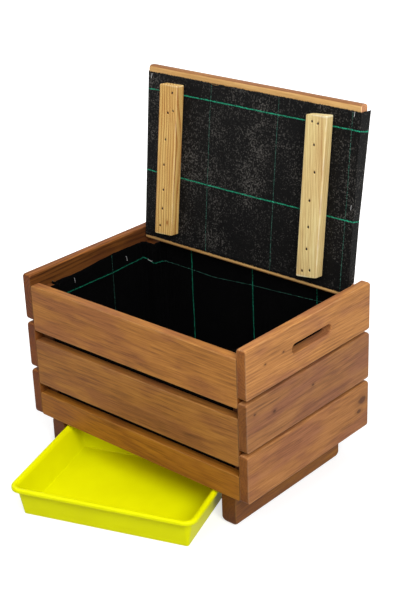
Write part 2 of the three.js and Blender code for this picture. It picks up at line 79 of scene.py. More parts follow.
# Places read from the frame
LID_OPEN = math.radians(joints["lid_hinge"]["range_deg"][1])
LID_PIVOT = Vector(joints["lid_hinge"]["pos_m"])
lid_place = Matrix.Translation(LID_PIVOT) @ Matrix.Rotation(-LID_OPEN, 4, "X")
TRAY_YAW = math.radians(joints["tray_swing"]["range_deg"][1])
tray_place = Matrix.Rotation(TRAY_YAW, 4, "Z")


def box_in(place, *names):
    """The lowest and highest corner of some nodes, measured in a turned frame."""
    back = place.inverted()
    corners = [back @ vertex.co for name in names for vertex in nodes[name].data.vertices]
    return Vector(map(min, zip(*corners))), Vector(map(max, zip(*corners)))


def add_piece(name, data):
    """Puts a mesh, a lamp or the camera in the scene."""
    piece = bpy.data.objects.new(name, data)
    scene.collection.objects.link(piece)
    return piece


# Camera, solved from the corners of the boards and the lid
CAMERA_TURN = 0.73575  # radians to the right of the front
CAMERA_RISE = 0.42894  # radians above level
CAMERA_ROLL = -0.03748
CAMERA_DISTANCE = 2.47468
CAMERA_TARGET = Vector((0.006755, 0.117319, 0.300635))
CAMERA_LENS = 76.8803
CAMERA_SENSOR = 36

camera = add_piece("camera", bpy.data.cameras.new("camera"))
camera.data.lens = CAMERA_LENS
camera.data.sensor_width = CAMERA_SENSOR
camera.data.clip_start = 0.05
camera.data.clip_end = 100
camera.matrix_world = (
    Matrix.Translation(CAMERA_TARGET)
    @ Matrix.Rotation(CAMERA_TURN, 4, "Z")
    @ Matrix.Rotation(QUARTER - CAMERA_RISE, 4, "X")
    @ Matrix.Rotation(CAMERA_ROLL, 4, "Z")
    @ Matrix.Translation((0, 0, CAMERA_DISTANCE))
)
scene.camera = camera


# Node trees


def runs(operation):
    """A method of Term that adds a math node."""
    return lambda term, *others: term.paint.calc(operation, term, *others)


class Term:
    """A number in a node tree. A sum of Terms adds the nodes that work it out."""

    __add__ = __radd__ = runs("ADD")
    __sub__ = runs("SUBTRACT")
    __mul__ = __rmul__ = runs("MULTIPLY")
    __truediv__ = runs("DIVIDE")
    __pow__ = runs("POWER")
    abs = runs("ABSOLUTE")
    root = runs("SQRT")
    cos = runs("COSINE")
    sign = runs("SIGN")
    floor = runs("FLOOR")
    fract = runs("FRACT")
    least = runs("MINIMUM")
    most = runs("MAXIMUM")
    over = runs("GREATER_THAN")

    def __init__(self, paint, socket):
        self.paint = paint
        self.socket = socket

    def __rsub__(self, other):
        return self.paint.calc("SUBTRACT", other, self)

    def __neg__(self):
        return self * -1

    def step(self, low, high):
        """Rises smoothly from 0 at low to 1 at high."""
        values = {"Value": self, "From Min": low, "From Max": high}
        smooth = self.paint.out("ShaderNodeMapRange", values, interpolation_type="SMOOTHSTEP")
        return Term(self.paint, smooth)


class Nodes:
    """Short ways to add nodes to one tree. A value is a number, a socket or a Term."""

    def __init__(self, tree):
        self.tree = tree

    def feed(self, socket, value):
        if isinstance(value, Term):
            value = value.socket
        if isinstance(value, bpy.types.NodeSocket):
            self.tree.links.new(value, socket)
        else:
            socket.default_value = value

    def add(self, kind, values=None, **settings):
        node = self.tree.nodes.new(kind)
        for label, value in settings.items():
            setattr(node, label, value)
        for label, value in (values or {}).items():
            self.feed(node.inputs[label], value)
        return node

    def out(self, kind, values=None, **settings):
        """The first output of a new node."""
        return self.add(kind, values, **settings).outputs[0]

    def calc(self, operation, *values):
        return Term(self, self.out("ShaderNodeMath", dict(enumerate(values)), operation=operation))

    def split(self, vector):
        return [Term(self, part) for part in self.add("ShaderNodeSeparateXYZ", {0: vector}).outputs]

    def vector(self, x, y, z):
        return self.out("ShaderNodeCombineXYZ", {0: x, 1: y, 2: z})

    def cloud(self, x, y, z, detail=2.0, roughness=0.5):
        """Soft noise round a half."""
        values = {"Vector": self.vector(x, y, z), "Scale": 1.0, "Detail": detail, "Roughness": roughness}
        return Term(self, self.out("ShaderNodeTexNoise", values))

    def chance(self, number):
        """Three random numbers from 0 to 1 that belong to one whole number or seed."""
        node = self.add("ShaderNodeTexWhiteNoise", {"W": number}, noise_dimensions="1D")
        return self.split(node.outputs["Color"])

    def object_place(self):
        return self.split(self.add("ShaderNodeTexCoord").outputs["Object"])


class Group(Nodes):
    """A node group. inputs and outputs give the names of its sockets by their type."""

    def __init__(self, name, inputs, outputs, kind="ShaderNodeTree"):
        super().__init__(bpy.data.node_groups.new(name, kind))
        for way, sockets in (("INPUT", inputs), ("OUTPUT", outputs)):
            for sort, labels in sockets.items():
                for label in labels.split():
                    self.tree.interface.new_socket(label, in_out=way, socket_type="NodeSocket" + sort)
        self.source = self.add("NodeGroupInput")
        self.result = self.add("NodeGroupOutput")

    def given(self, label):
        return Term(self, self.source.outputs[label])

    def give(self, **values):
        for label, value in values.items():
            self.feed(self.result.inputs[label], value)
        return self.tree


class ShapeGroup(Group):
    """A geometry tree that gives one shape, in the material that it is given."""

    def __init__(self, name, inputs):
        super().__init__(name, inputs, {"Geometry": "Shape"}, "GeometryNodeTree")

    def give_shape(self, shape):
        """Ends the tree: shaded smooth, made plain and painted."""
        smooth = self.out("GeometryNodeSetShadeSmooth", {"Geometry": shape, "Shade Smooth": True})
        plain = self.out("GeometryNodeRealizeInstances", {"Geometry": smooth})
        values = {"Geometry": plain, "Material": self.given("Finish")}
        return self.give(Shape=self.out("GeometryNodeSetMaterial", values))


# Shader groups that several finishes share


def wood_grain():
    """Growth rings round a pith beside the board, with fibres, streaks and patches along the grain."""
    group = Group("WoodGrain", {"Vector": "Place", "Float": "Seed Ring"},
                  {"Float": "Rings Fibres Streaks Patches Hue Pores"})
    x, y, z = group.split(group.given("Place"))
    seed = group.given("Seed")
    near, side, drift = group.chance(seed)
    start = seed * 3.71
    warp = group.cloud(x * 3.2 + start, y * 13, z * 13) - 0.5
    wander = group.cloud(x * 1.6 + start, 0.5, start) - 0.5
    pith_y = near * -0.055 - 0.022
    pith_z = (side - 0.5) * 0.1 + x * (drift - 0.5) * 0.2 + wander * 0.05
    radius = ((y - pith_y) ** 2 + (z - pith_z) ** 2).root() + warp * 0.02
    phase = (radius / group.given("Ring")).fract()

    def drawn_out(along, across, detail, roughness):
        return group.cloud(x * along + start, y * across, z * across, detail, roughness)

    return group.give(
        Rings=phase.step(0.25, 0.9) - phase.step(0.92, 1.0),
        Fibres=drawn_out(22, 640, 3.0, 0.6),
        Streaks=drawn_out(5, 230, 3.0, 0.55),
        Patches=drawn_out(9, 26, 3.0, 0.6),
        Hue=group.cloud(x * 7 - start, y * 21, z * 21, 3.0, 0.55).step(0.4, 0.62),
        Pores=drawn_out(130, 900, 1.0, 0.5),
    )


def board_edges():
    """Masks of a board's arrises and of its two end faces, from its half size."""
    group = Group("BoardEdges", {"Vector": "Place Half"}, {"Float": "Arris End"})
    place = group.split(group.given("Place"))
    half = group.split(group.given("Half"))
    a, b, c = (h - p.abs() for h, p in zip(half, place))
    second = a.least(b).most(a.most(b).least(c))
    chipped = group.cloud(*(p * 60 for p in place), 3.0) - 0.5
    return group.give(
        Arris=1 - (second + chipped * 0.004).step(0.0004, 0.0026),
        End=1 - a.step(0.0002, 0.0016),
    )


def board_knots():
    """Masks of three knots, each given as its place along and across the board and its radius."""
    group = Group("BoardKnots", {"Vector": "Place First Second Third"}, {"Float": "Core Halo"})
    x, y, z = group.split(group.given("Place"))
    rough = (group.cloud(x * 90, y * 90, z * 90, 3.0) - 0.5) * 0.7
    nearest = None
    for label in ("First", "Second", "Third"):
        along, across, radius = group.split(group.given(label))
        away = (((x - along) * 0.6) ** 2 + (z - across) ** 2).root() / radius + rough
        nearest = away if nearest is None else nearest.least(away)
    return group.give(Core=1 - nearest.step(0.5, 1.0), Halo=1 - nearest.step(0.8, 2.4))


def cloth_weave():
    """A plain weave of flat tapes: its relief, the tone of each tape and pale specks, partly dust and
    partly painted glints on the tapes.
    """
    group = Group("ClothWeave", {"Vector": "Place", "Float": "Tape"}, {"Float": "Height Tone Specks"})
    x, y, _ = group.split(group.given("Place"))
    wobble = group.cloud(x * 40, y * 40, 0.0) - 0.5
    across = x / group.given("Tape") + wobble * 0.5
    along = y / group.given("Tape") + wobble * 0.4
    warp_number, weft_number = across.floor(), along.floor()
    on_top = ((warp_number + weft_number) * 0.5).fract().over(0.25)
    crown = 1 - (across.fract() * 2 - 1) ** 2
    weft_crown = 1 - (along.fract() * 2 - 1) ** 2
    height = on_top * crown * (0.4 + weft_crown * 0.6) + (1 - on_top) * weft_crown * (0.4 + crown * 0.6)
    warp_tone, warp_speck, _ = group.chance(warp_number)
    weft_tone, _, _ = group.chance(weft_number + 0.37)
    slub = group.cloud(across * 1.3, along * 0.3, 0.0, 2.0, 0.6)
    tone = warp_tone * on_top * 0.7 + weft_tone * (1 - on_top) * 0.6 + (slub - 0.5) * 1.2
    cell, _, _ = group.chance(warp_number * 0.731 + weft_number * 37.7)
    crumbs = group.cloud(x * 430, y * 520, 3.0, 2.0, 0.7)
    hairs = group.cloud(x * 900, y * 190, 8.0, 2.0, 0.7)
    drift = group.cloud(x * 11, y * 11, 1.5, 3.0, 0.6)
    uneven = (cell - 0.5) * 0.42 + (drift - 0.5) * 0.7 + (warp_speck - 0.5) * 0.04
    return group.give(Height=height, Tone=tone, Specks=(crumbs.most(hairs) + uneven).step(0.6, 0.93))


GRAIN = wood_grain()
EDGES = board_edges()
KNOTS = board_knots()
WEAVE = cloth_weave()


# Finishes


class Finish(Nodes):
    """A material with one Principled BSDF, whose inputs are named with low lines for spaces."""

    def __init__(self, name, **values):
        self.material = bpy.data.materials.new(name)
        self.material.use_nodes = True
        super().__init__(self.material.node_tree)
        self.shader = next(n for n in self.tree.nodes if n.type == "BSDF_PRINCIPLED")
        self.set(**values)

    def set(self, **values):
        for label, value in values.items():
            self.feed(self.shader.inputs[label.replace("_", " ")], value)

    def group(self, tree, **values):
        node = self.add("ShaderNodeGroup", values, node_tree=tree)
        return {socket.name: Term(self, socket) for socket in node.outputs}

    def attribute(self, name):
        return self.add("ShaderNodeAttribute", attribute_name=name).outputs["Vector"]

    def number(self, name):
        return Term(self, self.add("ShaderNodeAttribute", attribute_name=name).outputs["Fac"])

    def ramp(self, value, *stops):
        node = self.add("ShaderNodeValToRGB", {"Fac": value})
        elements = node.color_ramp.elements
        while len(elements) < len(stops):
            elements.new(0.5)
        for element, (position, color) in zip(elements, stops):
            element.position = position
            element.color = (*color, 1)
        return node.outputs[0]

    def mix(self, share, first, second, blend_type="MIX"):
        node = self.add("ShaderNodeMix", {0: share}, data_type="RGBA", blend_type=blend_type)
        for socket, color in ((node.inputs[6], first), (node.inputs[7], second)):
            self.feed(socket, (*color, 1) if isinstance(color, tuple) else color)
        return node.outputs[2]

    def multiply(self, color, tint):
        return self.mix(1.0, color, tint, "MULTIPLY")

    def relief(self, height, depth, strength=1.0):
        values = {"Height": height, "Distance": depth, "Strength": strength}
        self.set(Normal=self.out("ShaderNodeBump", values))


def linear(red, green, blue):
    """A colour written as it looks on a screen, 0 to 255, as the shader takes it."""
    shares = [channel / 255 for channel in (red, green, blue)]
    return tuple(s / 12.92 if s <= 0.04045 else ((s + 0.055) / 1.055) ** 2.4 for s in shares)


def wood(name, dark, middle, light, rosy, ring, contrast, worn, end_tone, roughness, bare=None):
    """A planed board. dark, middle and light are the tones of its grain, rosy what its broad zones
    are multiplied by, worn the tone of its arrises, partly worn stain and partly a painted highlight,
    end_tone what its end grain is multiplied by, and contrast holds the shares of its rings, streaks,
    fibres and patches. bare holds the tones of the side that the stain hardly reached."""
    finish = Finish(name, Specular_IOR_Level=0.22)
    place = finish.attribute("grain_place")
    half = finish.attribute("board_half")
    grain = finish.group(GRAIN, Place=place, Seed=finish.number("board_seed"), Ring=ring)
    edges = finish.group(EDGES, Place=place, Half=half)
    knots = finish.group(KNOTS, Place=place, First=finish.attribute("knot_1"),
                         Second=finish.attribute("knot_2"), Third=finish.attribute("knot_3"))
    tone = 0.5 - grain["Rings"] * finish.number("board_figure") * contrast[0]
    for label, share in zip(("Streaks", "Fibres", "Patches"), contrast[1:]):
        tone = tone + (grain[label] - 0.5) * share
    color = finish.ramp(tone, (0.05, dark), (0.5, middle), (0.95, light))
    color = finish.mix(grain["Hue"], color, finish.multiply(color, rosy))
    if bare:
        depth = finish.split(place)[1] - finish.split(half)[1]
        strength = (depth + (grain["Streaks"] - 0.5) * 0.0008).step(-0.0011, -0.0006)
        color = finish.mix(strength, color, finish.ramp(tone, (0.05, bare[0]), (0.6, bare[1])))
    color = finish.mix(knots["Core"] * 0.6 + knots["Halo"] * 0.3, color, dark)
    color = finish.mix(edges["End"] * 0.85, color, finish.multiply(color, end_tone))
    # Lighter arrises: partly worn stain, partly a painted highlight along the rounded edges
    color = finish.mix(edges["Arris"] * 0.22, color, worn)
    # Multiplied by each board's tint, which carries its stain together with painted shade and painted
    # bounce light
    finish.set(Base_Color=finish.multiply(color, finish.attribute("board_tint")),
               Roughness=roughness + (grain["Fibres"] - 0.5) * 0.3)
    finish.relief(grain["Fibres"] + grain["Pores"] * 0.5 - grain["Rings"] * 0.2, 0.25 * MM, 0.5)
    return finish.material


STAINED = wood("stained wood", linear(84, 46, 22), linear(178, 121, 68), linear(214, 158, 98),
               (0.76, 0.7, 0.95), 6.5 * MM, (0.1, 0.34, 0.8, 0.34), (0.5, 0.34, 0.2),
               linear(184, 156, 98), 0.62)
LID_WOOD = wood("lid wood", linear(104, 60, 28), linear(158, 108, 62), linear(190, 138, 84),
                (0.85, 0.78, 0.9), 6.0 * MM, (0.1, 0.8, 0.7, 0.5), (0.4, 0.28, 0.17),
                (2.1, 2.3, 3.2), 0.6, bare=(linear(178, 126, 66), linear(216, 171, 108)))
RAW_PINE = wood("raw pine", linear(168, 106, 52), linear(222, 184, 120), linear(240, 212, 156),
                (0.95, 0.9, 0.88), 5.0 * MM, (0.16, 0.5, 0.6, 0.4), (0.84, 0.76, 0.62),
                (1.08, 1.16, 1.35), 0.62)


def black_cloth(name, tones, speck, specks, shine):
    """Woven tape in three tones, with pale specks of a tone, partly dust and partly painted glints, of
    which specks is the share.
    """
    finish = Finish(name, Specular_IOR_Level=shine, Sheen_Weight=shine * 0.3, Sheen_Roughness=0.5)
    uv = finish.out("ShaderNodeUVMap", uv_map="weave")
    weave = finish.group(WEAVE, Place=uv, Tape=2.3 * MM)
    color = finish.ramp(weave["Tone"] * 0.55 + weave["Height"] * 0.35, *zip((0.1, 0.55, 1.0), tones))
    # The pale specks are partly dust and partly painted glints on the tapes
    finish.set(Base_Color=finish.mix(weave["Specks"] * specks, color, speck),
               Roughness=0.74 - weave["Height"] * 0.12)
    finish.relief(weave["Height"], 0.35 * MM, 0.9)
    return finish.material


def thread(name, dark, light, size=2.2 * MM, specular=0.15):
    """Fibre in two tones, in streaks of a size."""
    finish = Finish(name, Roughness=0.5, Specular_IOR_Level=specular)
    streaks = finish.cloud(*(part / size for part in finish.object_place()))
    finish.set(Base_Color=finish.ramp(streaks, (0.3, dark), (0.7, light)))
    finish.relief(streaks, 0.1 * MM)
    return finish.material


def lime_plastic():
    finish = Finish("lime plastic", Specular_IOR_Level=0.07)
    x, y, z = finish.split(finish.attribute("tray_place"))
    haze = finish.cloud(x * 14, y * 14, z * 14, 3.0)
    scuffs = finish.cloud(x * 60, y * 700, z * 700, 2.0, 0.6).step(0.62, 0.78)
    color = finish.ramp(haze, (0.3, linear(226, 227, 0)), (0.7, linear(232, 234, 1)))
    finish.set(Base_Color=finish.mix(scuffs * 0.08, color, linear(240, 236, 90)),
               Roughness=0.36 + haze * 0.1 + scuffs * 0.2)
    finish.relief(finish.cloud(x * 900, y * 900, z * 900), 0.04 * MM, 0.5)
    return finish.material


def metal(name, dark, light, roughness, metallic):
    finish = Finish(name, Metallic=metallic)
    wear = finish.cloud(*(part * 500 for part in finish.object_place()), 3.0)
    finish.set(Base_Color=finish.ramp(wear, (0.35, dark), (0.7, light)),
               Roughness=roughness + (wear - 0.5) * 0.3)
    finish.relief(wear, 0.05 * MM, 0.6)
    return finish.material


LID_CLOTH = black_cloth("black cloth", (linear(2, 2, 2), linear(6, 6, 6), linear(17, 17, 16)),
                        linear(106, 102, 97), 0.7, 0.08)
# The lining is the lid's cloth in darker tones with fewer, darker specks: painted shade for the crate's
# inside
SHADED_LINING_CLOTH = black_cloth("black lining", (linear(1, 1, 1), linear(2, 2, 3), linear(7, 7, 8)),
                     linear(24, 23, 23), 0.3, 0.03)
SHADED_THREAD = thread("shaded green thread", linear(0, 92, 68), linear(26, 152, 118))
BRIGHT_THREAD = thread("bright green thread", linear(0, 118, 86), linear(50, 202, 156))
DULL_THREAD = thread("dull green thread", linear(28, 88, 72), linear(84, 150, 130))
FRAYED_TAPE = thread("frayed black tape", linear(8, 8, 8), linear(48, 45, 42), 1.5 * MM, 0.12)
LIME = lime_plastic()
DARK_STEEL = metal("nail steel", linear(44, 34, 26), linear(92, 76, 62), 0.5, 1.0)
BRIGHT_STEEL = metal("galvanised steel", linear(176, 176, 178), linear(226, 226, 226), 0.4, 0.15)


# Pieces


def new_mesh(name, points, faces, edges=(), finish=None):
    mesh = bpy.data.meshes.new(name)
    mesh.from_pydata([tuple(p) for p in points], list(edges), [tuple(f) for f in faces])
    if finish:
        mesh.materials.append(finish)
    mesh.update()
    return mesh


def places_of(mesh):
    places = np.zeros(len(mesh.vertices) * 3, np.float32)
    mesh.vertices.foreach_get("co", places)
    return places.reshape(-1, 3)


def set_attribute(mesh, name, values):
    """Gives each vertex a number or a vector, or all of them the same one."""
    values = np.asarray(values, np.float32)
    kind, field = ("FLOAT_VECTOR", "vector") if values.ndim else ("FLOAT", "value")
    all_values = np.broadcast_to(values, (len(mesh.vertices), *values.shape[-1:]))
    mesh.attributes.new(name, kind, "POINT").data.foreach_set(field, all_values.ravel())


def outward(mesh):
    """Turns every face of a closed body outwards."""
    shell = bmesh.new()
    shell.from_mesh(mesh)
    bmesh.ops.recalc_face_normals(shell, faces=shell.faces)
    shell.to_mesh(mesh)
    shell.free()
    return mesh


def run_modifiers(piece):
    """Turns what the piece's modifiers show into its own plain mesh."""
    bpy.context.view_layer.update()
    graph = bpy.context.evaluated_depsgraph_get()
    old = piece.data
    shown = piece.evaluated_get(graph)
    piece_mesh = bpy.data.meshes.new_from_object(shown, preserve_all_data_layers=True, depsgraph=graph)
    piece.modifiers.clear()
    piece.data = piece_mesh
    piece_mesh.name = piece.name
    bpy.data.meshes.remove(old)


def add_tree(piece, tree, **values):
    """Adds a node tree to a piece, its inputs set by their identifiers."""
    modifier = piece.modifiers.new(tree.name, "NODES")
    modifier.node_group = tree
    for item in tree.interface.items_tree:
        if item.in_out == "INPUT" and item.name in values:
            modifier[item.identifier] = values[item.name]


def hand_in(piece, body, slot, *replaced):
    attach(piece, body)
    if replaced:
        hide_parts(*replaced)
    return piece


def weigh_normals(piece):
    """Ends a piece's modifiers, so that its large flat faces shade flat."""
    piece.modifiers.new("flat faces", "WEIGHTED_NORMAL").mode = "FACE_AREA"
    run_modifiers(piece)


def grid_faces(rows, columns, wrap=False):
    """The faces between neighbouring rows of points."""
    faces = []
    for r in range(rows - 1):
        for k in range(columns if wrap else columns - 1):
            a, b = r * columns + k, r * columns + (k + 1) % columns
            faces.append((a, b, b + columns, a + columns))
    return faces


def rings_mesh(name, rings, finish=None):
    """A closed body from rings with the same number of points, capped at both ends."""
    count = len(rings[0])
    last = (len(rings) - 1) * count
    faces = grid_faces(len(rings), count, wrap=True)
    faces += [range(count)[::-1], range(last, last + count)]
    return outward(new_mesh(name, [point for ring in rings for point in ring], faces, finish=finish))


# Boards

STATIONS = 57
END_STATIONS = 10
ROUND_POINTS = 6


def board_tree():
    """A planed board along X, Y through it and Z across it, with its long edges, the corners of its
    outline and its end arrises rounded. Its edges wander a little, as planed wood's do."""
    sizes = "Length Width Thickness Lower Upper Corner Break Wander Seed LowSlant HighSlant"
    tree = ShapeGroup("PlanedBoard", {"Float": sizes, "Material": "Finish"})
    (length, width, thickness, lower, upper, corner, end_break, wander, seed,
     low_slant, high_slant) = map(tree.given, sizes.split())

    index = Term(tree, tree.out("GeometryNodeInputIndex"))
    last = STATIONS - 1
    number = index.least(last - index)
    angle = number.least(END_STATIONS) * (QUARTER / END_STATIONS)
    spacing = (length - corner * 2) / (last - 2 * END_STATIONS)
    inset = corner * (1 - angle.cos()) + (number - END_STATIONS).most(0) * spacing
    x = (length / 2 - inset) * (index - last / 2).sign()
    line = tree.out("GeometryNodeCurvePrimitiveLine")
    points = tree.out("GeometryNodeResampleCurve", {"Curve": line, "Count": STATIONS})
    straight = tree.vector(x, 0.0, 0.0)
    spine = tree.out("GeometryNodeSetPosition", {"Geometry": points, "Position": straight})

    x, y, z = tree.split(tree.out("GeometryNodeInputPosition"))
    section = tree.out("GeometryNodeCurvePrimitiveQuadrilateral", {"Width": thickness, "Height": width})
    edge_round = upper + (lower - upper) * y.over(0.0)
    rounded = tree.out("GeometryNodeFilletCurve",
                       {"Curve": section, "Count": ROUND_POINTS, "Radius": edge_round}, mode="POLY")
    swept = tree.out("GeometryNodeCurveToMesh",
                     {"Curve": spine, "Profile Curve": rounded, "Fill Caps": True})
    from_end = length / 2 - x.abs()

    def arc_inset(radius):
        rest = (radius - from_end).most(0)
        return radius - (radius ** 2 - rest ** 2).most(0).root()

    sides_in = arc_inset(end_break)
    corners_in = arc_inset(corner) + sides_in
    bow = (tree.cloud(x * 9 + seed, seed, 0.0) - 0.5) * wander
    dip = (tree.cloud(x * 14 + seed, z * 4, 2.5) - 0.5) * wander
    share = x / length
    slant = high_slant * share.step(0.3, 0.5) + low_slant * (-share).step(0.3, 0.5)
    shaped = tree.vector(x + z * slant, y * (1 - sides_in * 2 / thickness) + bow,
                         z * (1 - corners_in * 2 / width) + dip)
    return tree.give_shape(tree.out("GeometryNodeSetPosition", {"Geometry": swept, "Position": shaped}))


BOARD = board_tree()
WANDER = 0.3 * MM
FAR_KNOT = (9.0, 9.0, 1 * MM)
board_count = 0

# How each board's colour departs from the middle tone, in red, green and blue: partly its own stain and
# partly painted light, the lower boards darker as painted shade and the bottom front board yellower as
# a painted bounce from the tray
STAIN_AND_SHADE_TINTS = {
    "side_board_right_top": (1.1, 1.09, 1.02),
    "side_board_right_middle": (0.78, 0.76, 0.8),
    "side_board_right_bottom": (0.92, 0.88, 0.84),
    **{f"side_board_left_{level}": (0.66, 0.5, 0.26) for level in LEVELS},
    "front_board_top": (0.93, 0.86, 0.58),
    "front_board_middle": (0.77, 0.71, 0.45),
    "front_board_bottom": (0.74, 0.62, 0.2),
    "foot_rail_left": (0.56, 0.45, 0.22),
    "foot_rail_right": (0.6, 0.52, 0.26),
    "batten_left": (1.05, 1.06, 0.86),
    "batten_right": (1.06, 1.26, 1.4),
}
INNER_SHADE = 0.55  # painted shade on the left top board's inner face
INNER_SKIN = 0.6 * MM
POST_SHADE_TINTS = ((0.3, 0.25, 0.2), (0.6, 0.52, 0.38))  # painted shade on the posts' faces deep in the gaps, and a darker tone for their tops
POST_TOP = 3 * MM
# How strong the rings of a board show
FIGURES = {"side_board_left_top": 2.4, "batten_left": 2.5}
# Knots: place along the board and across it, and radius, in millimetres
BOARD_KNOTS = {
    "side_board_right_top": [(-128, 3, 2.2), (-78, 7, 2.2)],
    "side_board_right_middle": [(-105, 5, 3.2), (6, 10, 2.8), (-158, 21, 2.2)],
    "side_board_right_bottom": [(160, 14, 9.0), (150, -6, 5.0)],
    "batten_left": [(124, 10, 3.2)],
}


def board(name, finish, along, across, rounds, slot="stained_wood", body="crate", place=Matrix(),
          cutter=None, ends=((0, 0), (0, 0))):
    """A board in place of its node. along and across are its length and width axes in the frame
    place, rounds the radii of its lower and upper edge, corners and ends in millimetres, and ends
    how much longer than the node each end is, in millimetres, and its slant."""
    global board_count
    board_count += 1
    lower, upper, corner, end_break = (radius * MM for radius in rounds)
    (low_more, low_slant), (high_more, high_slant) = ends
    axes = Matrix((along, across.cross(along), across)).transposed().to_4x4()
    low, high = box_in(place @ axes, name)
    low.x -= low_more * MM
    high.x += high_more * MM
    size = high - low
    piece = add_piece(name + "_wood", bpy.data.meshes.new(name))
    add_tree(piece, BOARD, Length=size.x, Thickness=size.y - WANDER, Width=size.z - WANDER, Lower=lower,
             Upper=upper, Corner=corner, Break=end_break, Wander=WANDER, Seed=board_count * 7.3,
             Finish=finish, LowSlant=low_slant, HighSlant=high_slant)
    to_piece = place @ axes @ Matrix.Translation((low + high) / 2)
    if cutter:
        tool = cutter(name, size, to_piece)
        cut = piece.modifiers.new("cut", "BOOLEAN")
        cut.operation = "DIFFERENCE"
        cut.solver = "EXACT"
        cut.object = tool
    weigh_normals(piece)
    if cutter:
        bpy.data.objects.remove(tool)
    mesh = piece.data
    points = places_of(mesh)
    # Each board's tint: its own stain, with painted shade and a painted bounce from the tray folded in
    tint = STAIN_AND_SHADE_TINTS.get(name, (1, 1, 1))
    # The posts are darkened with painted shade, their tops less so
    if name.startswith("corner_post"):
        tint = np.where(points[:, :1] > size.x / 2 - POST_TOP, POST_SHADE_TINTS[1], POST_SHADE_TINTS[0])
    # Painted shade on the inner face of the left top board
    if name == "side_board_left_top":
        tint = tint * np.where(points[:, 1:2] < INNER_SKIN - size.y / 2, INNER_SHADE, 1.0)
    knots = [np.multiply(knot, MM) for knot in BOARD_KNOTS.get(name, [])] + [FAR_KNOT] * 3
    for label, values in (
        ("grain_place", points), ("board_half", size / 2), ("board_tint", tint),
        ("board_seed", board_count), ("board_figure", FIGURES.get(name, 1.0)),
        ("knot_1", knots[0]), ("knot_2", knots[1]), ("knot_3", knots[2]),
    ):
        set_attribute(mesh, label, values)
    mesh.transform(to_piece)
    mesh.update()
    return hand_in(piece, body, slot, name)


SLOT_LENGTH = 113 * MM
SLOT_HEIGHT = 18 * MM
SLOT_BACK = 3.5 * MM  # from the board's middle towards the back
SLOT_MOUTHS = (1.0 * MM, 2.8 * MM)  # how far the slot flares inside and outside
SLOT_POINTS = 20
SLOT_MOUTH_STEPS = 6
CUT_OVERRUN = 2 * MM


def handle_slot(name, size, _to_piece):
    """What the handle slot takes out of a top side board: a stadium whose mouths flare."""
    half = size.y / 2
    outside = -1 if "right" in name else 1
    straight = (SLOT_LENGTH - SLOT_HEIGHT) / 2
    rings = []
    for way in (-1, 1):
        mouth = SLOT_MOUTHS[way == outside]
        levels = [(half + CUT_OVERRUN, mouth)]
        for k in range(SLOT_MOUTH_STEPS + 1):
            turn = QUARTER * k / SLOT_MOUTH_STEPS
            levels.append((half - mouth * (1 - math.cos(turn)), mouth * (1 - math.sin(turn))))
        for depth, flare in levels if way < 0 else reversed(levels):
            radius = SLOT_HEIGHT / 2 + flare
            ring = []
            for sign in (1, -1):
                for k in range(SLOT_POINTS + 1):
                    angle = math.pi * (k / SLOT_POINTS - 0.5)
                    ring.append(Vector((sign * (straight + radius * math.cos(angle)) + SLOT_BACK,
                                        way * depth, sign * radius * math.sin(angle))))
            rings.append(ring)
    return add_piece(name + "_slot", rings_mesh(name + " slot", rings))


DENT_ALONG = 5.8 * MM
DENT_ACROSS = 3.0 * MM
DENT_DEEP = 1.9 * MM
DENT_LEAN = 0.4  # radians either way


def nail_dents(name, size, to_piece):
    """The dents that the hammer left round the nails of a batten, in the face that the nails enter."""
    side = name.split("_")[1]
    shell = bmesh.new()
    chance = random.Random(3)
    stretch = Matrix.Diagonal((DENT_ALONG, 2 * DENT_DEEP, DENT_ACROSS, 1))
    for nail in (n for n in nodes if n.startswith(f"batten_nail_{side}")):
        low, high = box_in(to_piece, nail)
        lean = Matrix.Rotation(chance.uniform(-DENT_LEAN, DENT_LEAN), 4, "Y")
        middle = Vector(((low.x + high.x) / 2, -size.y / 2 - DENT_DEEP, (low.z + high.z) / 2))
        bmesh.ops.create_uvsphere(shell, u_segments=20, v_segments=12, radius=1,
                                  matrix=Matrix.Translation(middle) @ lean @ stretch)
    mesh = bpy.data.meshes.new(name + " dents")
    shell.to_mesh(mesh)
    shell.free()
    return add_piece(name + "_dents", mesh)


CRATE_BOARDS = [  # names, length and width axes, and rounds
    ("side_board_left", LEVELS, ALONG_Y, ALONG_Z, (4, 4, 5, 1.2)),
    ("side_board_right", LEVELS, ALONG_Y, ALONG_Z, (1, 4, 5, 1.2)),
    ("front_board", LEVELS, ALONG_X, ALONG_Z, (1, 2, 4, 0.8)),
    ("back_board", LEVELS, ALONG_X, ALONG_Z, (1, 2, 4, 0.8)),
    ("corner_post_front", SIDES, ALONG_Z, ALONG_X, (2, 2, 2, 0.8)),
    ("corner_post_rear", SIDES, ALONG_Z, ALONG_X, (2, 2, 2, 0.8)),
    ("floor_board", ("front", "middle", "rear"), ALONG_X, ALONG_Y, (5, 5, 4, 0.8)),
    ("foot_rail", SIDES, ALONG_Y, ALONG_Z, (8, 8, 8, 1.5)),
]
for kind, places, along, across, rounds in CRATE_BOARDS:
    for where in places:
        slotted = kind.startswith("side") and where == "top"
        board(f"{kind}_{where}", STAINED, along, across, rounds, cutter=handle_slot if slotted else None)

